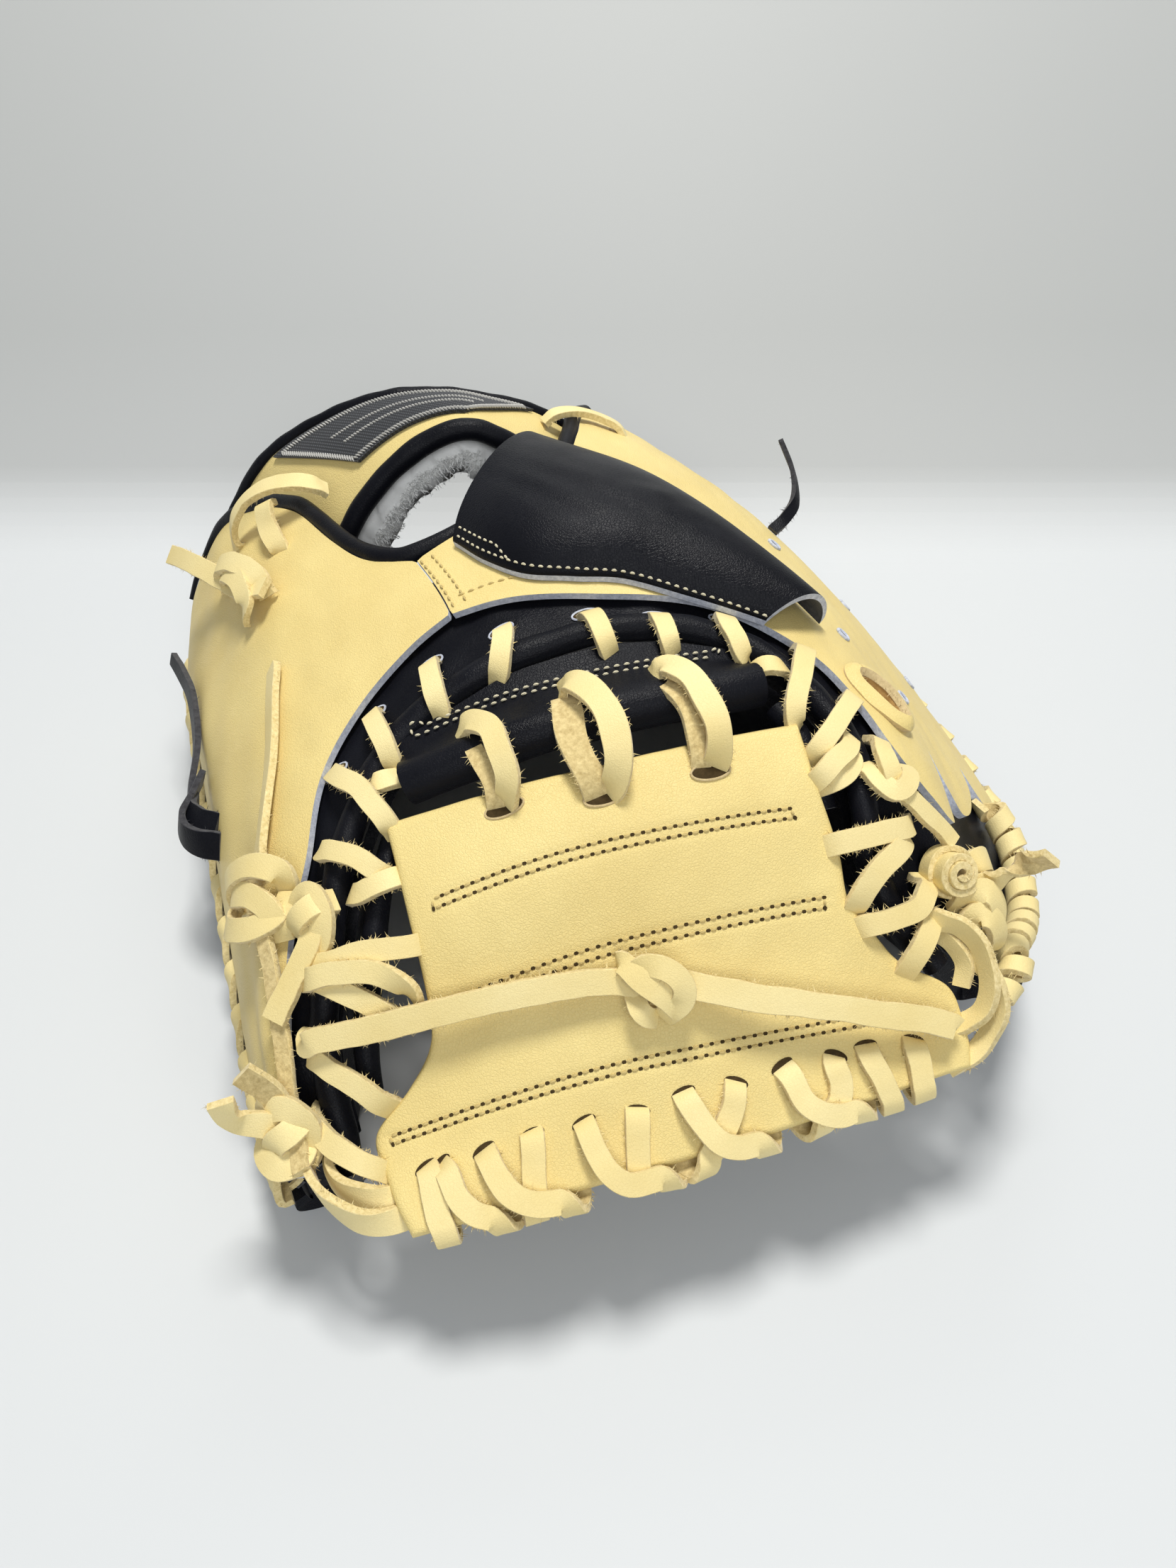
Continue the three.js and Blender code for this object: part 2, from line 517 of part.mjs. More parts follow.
// Slots for the outer ends of a lacing, longer each way than the lace's own section
function slots(edge, wraps, out) {
  return wraps.map(([at, to, reach]) => {
    const f = beside(edge, at, out);
    const g = beside(edge, to, -reach);
    const n = normalAt(f.u, f.v);
    const p = back(f.u, f.v);
    const b = back(g.u, g.v).sub(p).normalize();
    const w = b.clone().cross(n).normalize();
    const box = new THREE.BoxGeometry(LACE_WIDTH + SLOT_MORE, LACE_THICK + SLOT_LONG, SLOT_DEEP);
    box.applyMatrix4(new THREE.Matrix4().makeBasis(w, n.clone().cross(w), n));
    p.addScaledVector(b, -0.3);
    return solid(box.translate(p.x, p.y, p.z));
  });
}

// Rounded roll along points
function roll(points, radius, count, sides = 6) {
  const circle = new THREE.Shape();
  for (let k = 0; k <= sides; k += 1) {
    const a = (k % sides) / sides * 2 * Math.PI;
    const at = [radius * Math.cos(a), radius * Math.sin(a)];
    if (k === 0) circle.moveTo(...at);
    else circle.lineTo(...at);
  }
  const path = new THREE.CatmullRomCurve3(points);
  return new THREE.ExtrudeGeometry(circle, { steps: count, extrudePath: path });
}

// Knot: a lump of turns at a place on the back
function bead([across, along, lift, x, y, z, turn]) {
  const geometry = new THREE.SphereGeometry(0.5, 7, 4);
  geometry.rotateX(Math.PI / 2);
  geometry.scale(x, y, z);
  geometry.rotateZ(THREE.MathUtils.degToRad(turn));
  const up = new THREE.Quaternion().setFromUnitVectors(V(0, 0, 1), normalAt(across, along));
  geometry.applyQuaternion(up);
  const p = back(across, along, lift);
  return geometry.translate(p.x, p.y, p.z);
}

// Solids
function solid(geometry) {
  const clean = geometry.clone();
  clean.deleteAttribute('normal');
  clean.deleteAttribute('uv');
  const merged = mergeVertices(clean, 1e-4);
  const triangles = [];
  const index = merged.getIndex().array;
  for (let i = 0; i < index.length; i += 3) {
    const [a, b, c] = index.slice(i, i + 3);
    if (a !== b && b !== c && c !== a) triangles.push(a, b, c);
  }
  return new wasm.Manifold(new wasm.Mesh({
    numProp: 3,
    vertProperties: new Float32Array(merged.getAttribute('position').array),
    triVerts: new Uint32Array(triangles),
  }));
}
function shape(body) {
  const pieces = body.decompose().sort((a, b) => b.volume() - a.volume());
  const mesh = pieces[0].getMesh();
  const geometry = new THREE.BufferGeometry();
  geometry.setAttribute('position', new THREE.BufferAttribute(mesh.vertProperties, 3));
  geometry.setIndex([...mesh.triVerts]);
  return geometry;
}
const joined = (list) => list.slice(1).reduce((a, g) => a.add(solid(g)), solid(list[0]));

// Pieces of the body
function crotchRoll() {
  return roll(ROLL.map(([u, v]) => back(u, v, ROLL_DEPTH)), ROLL_RADIUS, 32);
}
function innerRoll(rows) {
  return roll(rows.map((row) => back(...row)), INNER_ROLL_RADIUS, 8);
}

// Flat strip along the rim, which the rim lacing goes round
function welt(rim) {
  const place = (s, t) => {
    const { u, v } = beside(rim, t * (rim.length - 1), mix(-WELT_HALF, WELT_HALF, s));
    return back(u, v);
  };
  return slab([0, 0.5, 1], steps(18, 0, WELT_END), place, () => -WELT_DEPTH,
    () => -WELT_DEPTH - WELT_THICK);
}

// Where the back leather ends above the rim lacing
function rimEnd(rim, v, distance) {
  let i = 0;
  while (i < rim.length - 2 && rim[i + 1][1] > v) i += 1;
  const at = i + clamp((v - rim[i][1]) / (rim[i + 1][1] - rim[i][1]), 0, 1);
  return beside(rim, at, distance);
}

function thumbBack() {
  const parts = [THUMB_ARCH, THUMB_SEAM, THUMB_OPENING];
  const place = (s, t) => {
    const [u, v, rim] = chain(parts, t);
    const end = rimEnd(RIM_THUMB, rim, RIM_CLEAR);
    return back(mix(end.u, u, s), mix(rim, v, s));
  };
  return slab(steps(6), steps(16), place, () => 0, () => -SHELL);
}

function fingerBack() {
  const parts = [FINGER_OPENING, FINGER_SEAM, FINGER_ARCH];
  const rows = 12;
  const place = (s, t) => {
    const [u, v, rim] = chain(parts, t);
    const rimPlace = rimEnd(RIM_FINGER, rim, -RIM_CLEAR);
    const end = Math.max(0, (t - 1) * rows * 2 + 1);
    const reach = TONGUE_LENGTH - TONGUE_TAPER * s;
    const tongue = end * reach * Math.abs(Math.sin(TONGUES * Math.PI * s));
    return back(mix(u, rimPlace.u, s), mix(v, rim, s) - tongue);
  };
  const ts = [...steps(rows - 1, 0, 1 - 1 / rows), 1 - 0.5 / rows, 1];
  return slab(steps(12), ts, place, () => 0, () => -SHELL);
}

function crotchBand() {
  const place = (s, t) => {
    const [at, a, b] = share(BAND, t);
    const { u, v } = beside(ROLL, at, BAND_CLEAR);
    return back(mix(u, a, s), mix(v, b, s));
  };
  return slab(steps(4), steps(26), place, () => -BAND_DEPTH, () => -BAND_DEPTH - SHELL);
}

function palm() {
  const rib = (t) => {
    const [x, y, z, fx, fy, fz, at, foot, height] = share(PALM, t);
    const [u, v] = through(ROLL, at);
    const crotch = back(u, v, PALM_EDGE - PALM_RIM);
    const rim = V(x, y, z);
    const heel = V(fx, fy, Math.max(0, fz));
    const inward = crotch.clone().sub(heel).setZ(0);
    const run = inward.length();
    inward.normalize();
    const low = heel.clone().lerp(rim, 0.45).addScaledVector(inward, -4);
    const toe = heel.clone().addScaledVector(inward, foot);
    const wall = heel.clone().addScaledVector(inward, (foot + run) / 2).setZ(height);
    return [rim, low, heel, toe, wall, crotch].map((p) => p.toArray());
  };
  const place = (s, t) => V(...through(rib(t), s * 5));
  const ss = [0, 0.1, 0.2, 0.4, 0.6, 0.7, 0.8, 0.9, 1];
  const ts = steps(24);
  const under = [];
  const over = [];
  for (const t of ts) {
    for (const s of ss) {
      const e = 1e-3;
      const ds = place(Math.min(s + e, 1), t).sub(place(Math.max(s - e, 0), t));
      const dt = place(s, Math.min(t + e, 1)).sub(place(s, Math.max(t - e, 0)));
      const n = ds.cross(dt).normalize();
      const p = place(s, t);
      over.push(p.clone().addScaledVector(n, mix(PALM_RIM, PALM_PAD, Math.sin(Math.PI * s))));
      under.push(p.setZ(Math.max(p.z, 0)));
    }
  }
  return between(under, over, ss.length, ts.length);
}

// Flap whose lower edge is folded into a tube. The tube's middle lies at TUBE_AT of the width.
function webBar() {
  const widths = [0, 0.3, 0.52, 0.62, 0.74, 0.86, 0.96, 1];
  const place = (s, t) => {
    const [u, v, a, b] = share(BAR, t);
    return back(mix(u, a, s / TUBE_AT), mix(v, b, s / TUBE_AT));
  };
  const round = (s) => {
    const d = (s - TUBE_AT) / (1 - TUBE_AT);
    return Math.abs(d) < 1 ? Math.sqrt(1 - d * d) : 0;
  };
  const lip = (s, y) => (s === 1 ? -BAR_SINK + Math.sign(y) * BAR_LIP : y);
  const top = (s) => lip(s, Math.max(1e-3, -BAR_SINK + BAR_TUBE * round(s)));
  const bottom = (s) => lip(s, Math.min(-BAR_THICK, -BAR_SINK - BAR_TUBE * round(s)));
  return slab(widths, steps(9), place, top, bottom);
}

function webPanel() {
  const place = (s, t) => {
    const [u, v, a, b, sag] = share(WEB, t);
    return back(mix(u, a, s), mix(v, b, s) + sag * Math.sin(Math.PI * s));
  };
  const round = (t) => 1 - Math.max(0, 1 - 20 * Math.min(t, 1 - t)) * 0.45;
  const middle = 0.2;
  const top = (s, t) => middle + WEB_THICK / 2 * round(t);
  const bottom = (s, t) => middle - WEB_THICK / 2 * round(t);
  return slab(steps(8), [0, 0.04, ...steps(6, 0.14, 0.88), 0.96, 1], place, top, bottom);
}

function sleeve() {
  const place = (s, t) => {
    const [u, v, a, b] = share(SLEEVE, t);
    return back(mix(u, a, s), mix(v, b, s));
  };
  const rise = (s, t) => GAP + share(SLEEVE, t)[4] * Math.sin(Math.PI * clamp(s, 0, 1)) ** 0.7;
  return slab(steps(7), steps(8), place, (s, t) => rise(s, t) + SLEEVE_THICK, rise);
}

function strapPlace(s, t) {
  const [a, b, c, d, e, f] = share(STRAP, t);
  return V(mix(a, d, s), mix(b, e, s), mix(c, f, s));
}
function strap() {
  const crown = (s) => STRAP_CROWN * Math.sin(Math.PI * clamp(s, 0, 1));
  return slab(steps(4), steps(12), strapPlace, crown, (s) => crown(s) - STRAP_THICK);
}
function fleece() {
  const place = (s, t) => strapPlace(mix(...FLEECE_ACROSS, s), mix(...FLEECE_ALONG, t));
  const top = -STRAP_THICK - GAP * 1.5;
  return slab(steps(3), steps(12), place, () => top, () => -STRAP_THICK - FLEECE_THICK);
}
function patch() {
  const place = (s, t) =>
    strapPlace(mix(...PATCH_ACROSS, s), mix(mix(...PATCH_START, s), mix(...PATCH_END, s), t));
  const lift = (s) => STRAP_CROWN * Math.sin(Math.PI * mix(...PATCH_ACROSS, s)) + GAP;
  return slab(steps(3), steps(8), place, (s) => lift(s) + PATCH_THICK, lift);
}
function strapRoll(edge, radius) {
  const points = steps(10).map((t) => {
    const p = strapPlace(edge, t);
    const side = p.clone().sub(strapPlace(0.5, t)).normalize();
    return p.addScaledVector(side, radius + STRAP_ROLL_CLEAR).add(V(0, 0, -1));
  });
  return roll(points, radius, 11);
}

function openingBinding() {
  const beyond = -BINDING_RADIUS - BINDING_CLEAR;
  const thumb = steps(8, 0.3, THUMB_OPENING.length - 1).reverse().map((at) => {
    const { u, v } = beside(THUMB_OPENING, at, beyond);
    return back(u, v, -SHELL / 2);
  });
  const finger = steps(6, 0.5, FINGER_OPENING.length - 1.3).reverse().map((at) => {
    const { u, v } = beside(FINGER_OPENING, at, beyond);
    const under = Math.sin(Math.PI * clamp((at - 1.5) / 3.5, 0, 1));
    return back(u, v, -SHELL / 2 - UNDER_SLEEVE * under);
  });
  return roll([...thumb, ...finger], BINDING_RADIUS, 28);
}

function fingerLoop() {
  const rise = (t) => GAP + LOOP_RISE * Math.sin(Math.PI * clamp(t, 0, 1)) ** 0.8;
  const place = (s, t) => back(5.16 + 0.2 * s, -44 - 23 * t);
  return slab(steps(2), steps(8), place, (s, t) => rise(t) + LOOP_THICK, (s, t) => rise(t));
}

// Laces
function rimWraps(rim) {
  const pitch = (rim.length - 1) / RIM_WRAPS;
  return steps(RIM_WRAPS - 1).map((f) => {
    const at = mix(0.2 * pitch, (RIM_WRAPS - 0.8) * pitch, f);
    return [at, at + 0.35 * pitch, WELT_OUT];
  });
}

const laces = {
  web_top_lace: (grow) => lace(TOP_LACE, 40, grow),
  arch_lace: (grow) => winding(ROLL, ARCH_WRAPS, HOLE_OUT, OVER_ROLL, grow),
  thumb_side_lace: (grow) => winding(ROLL, THUMB_WRAPS, HOLE_OUT, OVER_SIDE, grow),
  finger_side_lace: (grow) => winding(ROLL, FINGER_WRAPS, HOLE_OUT, OVER_SIDE, grow),
  web_foot_lace: (grow) => winding(WEB_FOOT, WEB_WRAPS, WEB_HOLE_OUT, OVER_SHEET, grow),
  rim_lace_thumb: (grow) => winding(RIM_THUMB, rimWraps(RIM_THUMB), WELT_OUT, OVER_WELT, grow),
  rim_lace_finger: (grow) => winding(RIM_FINGER, rimWraps(RIM_FINGER), WELT_OUT, OVER_WELT, grow),
};

// Assembly
const root = new THREE.Group();
root.position.set(-CENTRE_X, -CENTRE_Y, 0);

function add(name, geometry, colour, roughness = 0.6) {
  const material = new THREE.MeshStandardMaterial({ color: colour, roughness, metalness: 0 });
  const mesh = new THREE.Mesh(geometry, material);
  mesh.name = name;
  root.add(mesh);
}

const cut = (geometry, cutters) => shape(cutters.reduce((a, b) => a.subtract(b), solid(geometry)));
const webSlots = slots(WEB_FOOT, WEB_WRAPS, WEB_HOLE_OUT);
const topLace = solid(laces.web_top_lace(GAP * 2));

add('crotch_roll', crotchRoll(), BLACK, 0.4);
add('inner_roll_thumb', innerRoll(INNER_ROLL_THUMB), BLACK, 0.4);
add('inner_roll_finger', innerRoll(INNER_ROLL_FINGER), BLACK, 0.4);
add('thumb_back', thumbBack(), BLOND);
add('finger_back', fingerBack(), BLOND);
add('crotch_band', crotchBand(), BLACK, 0.45);
add('palm', palm(), BLACK, 0.5);
add('web_bar', cut(webBar(), [topLace]), BLACK, 0.4);
add('web_panel', cut(webPanel(), [...webSlots, topLace]), BLOND);
add('rim_welt_thumb', welt(RIM_THUMB), BLACK, 0.5);
add('rim_welt_finger', welt(RIM_FINGER), BLACK, 0.5);
add('index_sleeve', sleeve(), BLACK, 0.45);
add('wrist_strap', strap(), BLOND);
add('strap_patch', patch(), BLACK, 0.8);
add('wrist_fleece', fleece(), FLEECE, 1);
add('strap_binding_outer', strapRoll(0, STRAP_ROLL_OUTER), BLACK, 0.4);
add('strap_binding_inner', strapRoll(1, STRAP_ROLL_INNER), BLACK, 0.4);
add('opening_binding', openingBinding(), BLACK, 0.4);
add('finger_loop', fingerLoop(), BLOND);
for (const [name, make] of Object.entries(laces)) add(name, make(0), LACE, 0.75);
for (const [name, { lump, ends }] of Object.entries(KNOTS)) {
  const tails = ends.map((rows) => lace(rows, rows.length * 2 - 1));
  add(name, shape(joined([bead(lump), ...tails])), LACE, 0.75);
}
add('corner_loop_thumb', lace(CORNER_THUMB, 12), LACE, 0.75);
add('corner_loop_finger', lace(CORNER_FINGER, 12), LACE, 0.75);
add('strap_lace_thumb', lace(STRAP_LACE_THUMB, 9), LACE, 0.75);
add('strap_lace_finger', lace(STRAP_LACE_FINGER, 8), LACE, 0.75);
add('side_cord', shape(joined([bead(SIDE_CORD_KNOT), lace(SIDE_CORD, 6, 0, CORD_WIDTH)])), BLACK, 0.5);
add('loose_cord', lace(LOOSE_CORD, 8, 0, CORD_WIDTH), BLACK, 0.5);

export default root;
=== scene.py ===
import math

import bpy
import numpy as np
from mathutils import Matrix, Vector


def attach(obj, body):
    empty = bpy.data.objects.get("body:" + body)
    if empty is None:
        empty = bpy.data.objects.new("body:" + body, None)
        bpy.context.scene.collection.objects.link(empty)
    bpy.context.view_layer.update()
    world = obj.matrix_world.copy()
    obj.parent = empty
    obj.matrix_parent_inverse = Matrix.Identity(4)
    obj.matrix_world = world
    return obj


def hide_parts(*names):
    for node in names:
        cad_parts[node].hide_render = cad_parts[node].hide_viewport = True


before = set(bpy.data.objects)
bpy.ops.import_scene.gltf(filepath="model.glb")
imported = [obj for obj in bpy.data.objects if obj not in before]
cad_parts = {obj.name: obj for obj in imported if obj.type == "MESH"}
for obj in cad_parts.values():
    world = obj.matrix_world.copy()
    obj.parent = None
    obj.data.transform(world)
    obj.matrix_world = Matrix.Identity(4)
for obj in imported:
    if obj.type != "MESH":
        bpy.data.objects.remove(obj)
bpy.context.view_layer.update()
rng = np.random.default_rng(7)

# ---- numbers shared with the CAD source, in mm
ORIGIN = np.array([19.0, -3.0, 0.0])
HEART = (10.0, 20.0)
GAP, SHELL, BAND_DEPTH = 0.35, 2.2, 4.0
PALM_RIM, PALM_PAD, PALM_EDGE = 3.2, 7.0, -11.2
ROLL_RADIUS, INNER_ROLL_RADIUS, ROLL_DEPTH = 3.8, 3.3, -2.6
WELT_THICK = 2.6
BINDING_RADIUS, STRAP_ROLL_OUTER, STRAP_ROLL_INNER = 2.7, 2.1, 3.3
LACE_WIDTH, LACE_THICK = 6.0, 2.2
WEB_THICK, WEB_TOP, BAR_THICK, BAR_RADIUS, BAR_RISE = 4.0, 2.34, 2.4, 6.0, 5.45
FLEECE_THICK, STRAP_THICK = 9.0, 3.2
RIM_CLEAR, BAND_CLEAR, RIM_HALF, RIM_TURNS = 9.4, 8.6, 5.4, 17
HAIRS_PER_MM, HAIR_LENGTH = 3.2, 2.1
TUFTS, PALM_FILL, FLEECE_FILL = 15000, 0.8, 0.5
PATCH_THICK, STRAP_CROWN, STRAP_ROLL_MORE = 1.2, 1.2, 0.25
PALM_RAISE = 3.6
SLEEVE_THICK = 1.9
WEB_LIFT = 0.2
CAMERA_PLACE, CAMERA_TURN, CAMERA_DOWN = [-66.9, -254.5, 318.5], -20, 47
LENS, SENSOR = 27.05, 36
# Floor in metres: how far it runs level, the radius of its bend, and the angle it then rises at
FLOOR_FLAT, FLOOR_BEND, FLOOR_RISE = 0.425, 0.09, 0.66

# Back surface: y, then x and z of nine points across
BACK = np.array([
    [152, -66, 8, -71, 24, -67, 47, -48, 75, 0, 103, 50, 93, 74, 69, 86, 36, 86, 8],
    [132, -80, 6, -86, 24, -80, 50, -56, 80, 0, 108, 56, 98, 84, 74, 98, 40, 98, 6],
    [100, -89, 6, -94, 25, -85, 54, -55, 88, 3, 114, 60, 103, 94, 80, 112, 44, 112, 6],
    [50, -92, 6, -96, 26, -86, 58, -54, 91, 8, 113, 68, 107, 105, 84, 127, 48, 130, 6],
    [5, -93, 6, -97, 26, -88, 57, -58, 87, 8, 116, 70, 109, 112, 80, 136, 46, 142, 6],
    [-35, -95, 6, -98, 24, -91, 49, -70, 78, 0, 109, 74, 106, 115, 73, 142, 40, 149, 8],
    [-75, -96, 6, -99, 22, -94, 42, -81, 61, -5, 96, 79, 97, 112, 67, 140, 36, 147, 10],
    [-105, -93, 10, -97, 21, -92, 32, -84, 38, 0, 71, 87, 75, 106, 55, 124, 35, 130, 19],
    [-128, -85, 20, -88, 27, -84, 33, -77, 37, 0, 52, 87, 57, 98, 48, 106, 40, 108, 32],
    [-150, -74, 24, -76, 29, -74, 33, -70, 35, 0, 37, 80, 42, 86, 38, 90, 34, 92, 30]], float)
# Rolled crotch edge: across, along
ROLL = [
    [3.05, -117], [3.1, -104], [3.1, -89], [3.14, -76], [3.19, -58], [3.25, -43], [3.38, -29.5],
    [3.55, -22], [3.8, -20], [4.04, -20.5], [4.28, -21.5], [4.5, -24.5], [4.7, -31], [4.84, -42],
    [4.92, -57], [4.93, -73], [4.84, -87], [4.76, -98], [4.75, -108], [4.8, -116], [4.86, -122]]
# Short rolls inside it: across, along, lift
INNER_ROLL_THUMB = [[3.23, -99, -4.8], [3.26, -90, -4.5], [3.3, -81, -4.4], [3.34, -71, -4.5],
                    [3.37, -60, -4.8], [3.41, -50, -6]]
INNER_ROLL_FINGER = [[4.77, -56, -6.2], [4.775, -64, -5.2], [4.775, -74, -5.2], [4.715, -86, -5.4]]
# Inner edges of the back panels: across, along, and where that line meets the rim
THUMB_ARCH = [[2.83, -108, -101], [2.9, -96, -91], [2.93, -80, -82], [2.97, -60, -64],
              [3.06, -44, -46], [3.12, -23, -28], [3.28, -9, -12], [3.5, 0, 2], [3.68, 3.5, 12]]
THUMB_SEAM = [[3.68, 3.5, 12], [3.615, 33, 36]]
THUMB_OPENING = [[3.615, 33, 36], [3.42, 46, 52], [3.3, 65, 66], [3.19, 91, 84], [2.98, 111, 98],
                 [2.66, 126, 110], [2.25, 129, 118], [1.8, 122, 121]]
FINGER_OPENING = [[5.4, 117, 120], [5.05, 104, 108], [4.8, 84, 92], [4.5, 60, 72], [4.1, 42, 54],
                  [3.622, 33, 40]]
FINGER_SEAM = [[3.622, 33, 40], [3.687, 3, 14]]
FINGER_ARCH = [[3.687, 3, 14], [3.9, -1, 6], [4.27, -10, -4], [4.72, -20.5, -18], [5.02, -41, -30],
               [5.1, -57, -40], [5.12, -71, -52]]
# Outer edge of the crotch band: place along the rolled edge, across, along
BAND = [
    [0, 2.3, -115], [1, 2.35, -106], [1.6, 2.4, -98], [2.3, 2.5, -86], [3.3, 2.62, -71],
    [4, 2.75, -50], [5, 2.85, -34], [6.1, 3, -15], [7, 3.3, 0], [8, 3.66, 9], [9, 4.04, 5],
    [10.2, 4.4, -2], [11.4, 4.82, -18], [12.6, 5.08, -30], [13.5, 5.25, -46], [14.3, 5.4, -60],
    [15.2, 5.9, -58], [16.1, 6.8, -66], [17, 6.82, -86], [18, 6.6, -99], [19, 6.1, -108],
    [20, 5.5, -115]]
# Web: across and along at its thumb side, then its finger side, and how far it bows
WEB = [[3.43, -49, 4.75, -65, -4], [3.47, -64, 4.7, -81, -1], [3.49, -80, 4.66, -94, 0],
       [3.48, -92, 4.62, -104, 0], [3.45, -98, 4.66, -112, 0], [3.36, -103, 4.72, -119, 0],
       [3.23, -108, 4.86, -126, 0], [3.19, -118, 4.9, -133, 0], [3.16, -126, 4.92, -138.5, -0.5],
       [3.15, -134, 4.92, -143.5, -2]]
# Sleeve: across and along at both of its edges, and its height
SLEEVE = [[3.79, 30, 4.47, 75, 11], [3.87, 15, 4.67, 58, 13], [4, 3, 4.84, 42, 13.5],
          [4.2, -4, 4.98, 24, 13], [4.4, -9, 5.1, 8, 11.5], [4.62, -19, 5.19, -9, 10],
          [4.88, -31, 5.27, -27, 8.5]]
# Wrist strap: x, y, z of its outer edge, then of its inner edge
STRAP = [
    [-74, 134, 40, -50, 98, 52], [-67, 138, 58, -41, 90, 68], [-59, 138, 73, -34, 88, 82],
    [-45, 133, 92, -26, 88.5, 94], [-24, 124, 107, -14, 89.5, 106], [-5, 117, 114.5, 0, 89.5, 114.5],
    [14, 110, 116, 14, 87, 118], [28, 107, 112.5, 26, 83.5, 113.5], [44, 104.5, 106.2, 39, 81, 105],
    [61, 101.5, 93.4, 54, 79.5, 92]]
# Palm: x, y, z at the rim and at the floor, place along the rolled edge, foot, height inside
PALM = [
    [-88, -117, 17, -80, -116, 10, 0, 5, 25], [-95, -102, 11, -87, -101, 1.5, 1, 10, 25],
    [-97.5, -84, 11, -88, -83, 0, 2.4, 16, 34], [-97.5, -50, 13, -87, -50, 0, 4.4, 22, 48],
    [-96.5, -4, 14, -86, -6, 0, 6.2, 25, 58], [-94.5, 50, 14, -84, 50, 0, 7.1, 28, 52],
    [-90.5, 102, 14, -80, 99, 0, 7.9, 30, 46], [-70, 134, 14, -63, 124, 0, 8.5, 30, 42],
    [0, 143, 14, 0, 131, 0, 9.2, 32, 42], [78, 136, 17, 69, 124, 0, 9.9, 30, 44],
    [114, 101, 23, 101, 97, 0, 10.7, 30, 48], [131, 50, 26, 118, 49, 0, 11.6, 30, 54],
    [142.5, 0, 25, 128, 0, 0, 12.6, 32, 60], [148.5, -44, 23, 134, -44, 0, 14, 32, 62],
    [145.5, -80, 21, 130, -79, 3, 15.6, 28, 56], [130, -103, 24.5, 118, -103, 13, 17, 16, 52],
    [112, -122, 35, 105, -116, 26, 18.6, 9, 48], [97, -131, 42, 95, -123, 36, 19.8, 5, 50]]
# Rims and the foot of the web: across, along
RIM_THUMB = [[0.88, 114], [0.9, 75], [0.92, 35], [0.95, -5], [0.95, -45], [0.95, -80], [0.98, -94],
             [1.08, -105]]
RIM_FINGER = [[7.2, 114], [7.2, 75], [7.16, 35], [7.15, -5], [7.13, -45], [7.14, -80], [7.05, -96],
              [6.8, -106], [6.4, -114], [5.95, -120]]
WEB_FOOT = [[3.15, -134], [3.45, -137], [3.75, -139.5], [4.05, -142], [4.35, -142.5],
            [4.65, -143.5], [4.92, -143.5]]
# One turn of the rim lace: share of the way in, mm more, lift, tilt in degrees
OVER_WELT = [[0, 0, -1.7, -90], [0, 1.1, 0.7, -45], [1, -1.1, 0.7, 45], [1, 0, -1.7, 90],
             [1, -1.1, -5.4, 135], [0, 1.1, -5.4, 225]]


# ---- surfaces
def spline(pick, i, last, f):
    """Smooth curve through rows, at a share f between rows i and i + 1; pick reads the rows."""
    b, c = pick(i), pick(i + 1)
    a = np.where((i > 0)[..., None], pick(np.maximum(i - 1, 0)), 2 * b - c)
    d = np.where((i + 2 <= last)[..., None], pick(np.minimum(i + 2, last)), 2 * c - b)
    f = f[..., None]
    return 0.5 * (2 * b + (c - a) * f + (2 * a - 5 * b + 4 * c - d) * f ** 2
                  + (3 * b - a - 3 * c + d) * f ** 3)


def hermite(start, end, slope_start, slope_end, f, h):
    """Smooth curve from start to end over a length h, with the slope given at both."""
    return ((2 * f ** 3 - 3 * f ** 2 + 1) * start + (f ** 3 - 2 * f ** 2 + f) * h * slope_start
            + (3 * f ** 2 - 2 * f ** 3) * end + (f ** 3 - f ** 2) * h * slope_end)


def through(rows, t):
    """Smooth curve through table rows at place t (array)."""
    rows = np.asarray(rows, float)
    t = np.clip(np.asarray(t, float), 0, len(rows) - 1)
    i = np.minimum(t.astype(int), len(rows) - 2)
    return spline(lambda j: rows[j], i, len(rows) - 1, t - i)


def share(rows, f):
    """Curve through table rows at a share f of its length in rows."""
    return through(rows, np.asarray(f, float) * (len(rows) - 1))


def chain(stretches, f):
    """Curve through tables that follow each other with corners between them."""
    f = clamp(np.asarray(f, float))
    spans = [len(r) - 1 for r in stretches]
    t = f * sum(spans)
    out = np.zeros(t.shape + (3,))
    done = np.zeros(t.shape, bool)
    start = 0.0
    for rows, span in zip(stretches, spans):
        here = (~done) & (t <= start + span + 1e-9)
        out[here] = through(rows, t[here] - start)
        done |= here
        start += span
    return out


def surface(u, y):
    """Point of the back surface, u across from 0 at the thumb to 8, y along."""
    u, y = np.broadcast_arrays(np.asarray(u, float), np.asarray(y, float))
    ys = BACK[:, 0]
    yc = np.clip(y, ys[-1], ys[0])
    i = np.clip(np.searchsorted(-ys, -yc, side="right") - 1, 0, len(ys) - 2)
    h = ys[i + 1] - ys[i]
    f = ((yc - ys[i]) / h)[..., None]
    lo, hi = np.maximum(np.arange(len(ys)) - 1, 0), np.minimum(np.arange(len(ys)) + 1, len(ys) - 1)
    slope = (BACK[hi, 1:] - BACK[lo, 1:]) / (ys[hi] - ys[lo])[:, None]
    h = h[..., None]
    row = hermite(BACK[i, 1:], BACK[i + 1, 1:], slope[i], slope[i + 1], f, h)
    row = row.reshape(row.shape[:-1] + (9, 2))
    uc = np.clip(u, 0, 8)
    k = np.minimum(uc.astype(int), 7)

    def pick(j):
        return np.take_along_axis(row, j[..., None, None].repeat(2, -1), -2)[..., 0, :]
    xz = spline(pick, k, 8, uc - k)
    return np.stack([xz[..., 0], y, xz[..., 1]], -1)


def clamp(x):
    return np.clip(x, 0, 1)


def fade(s, slope):
    """0 at both ends of 0..1, and 1 between them."""
    return clamp(np.minimum(s, 1 - s) * slope)


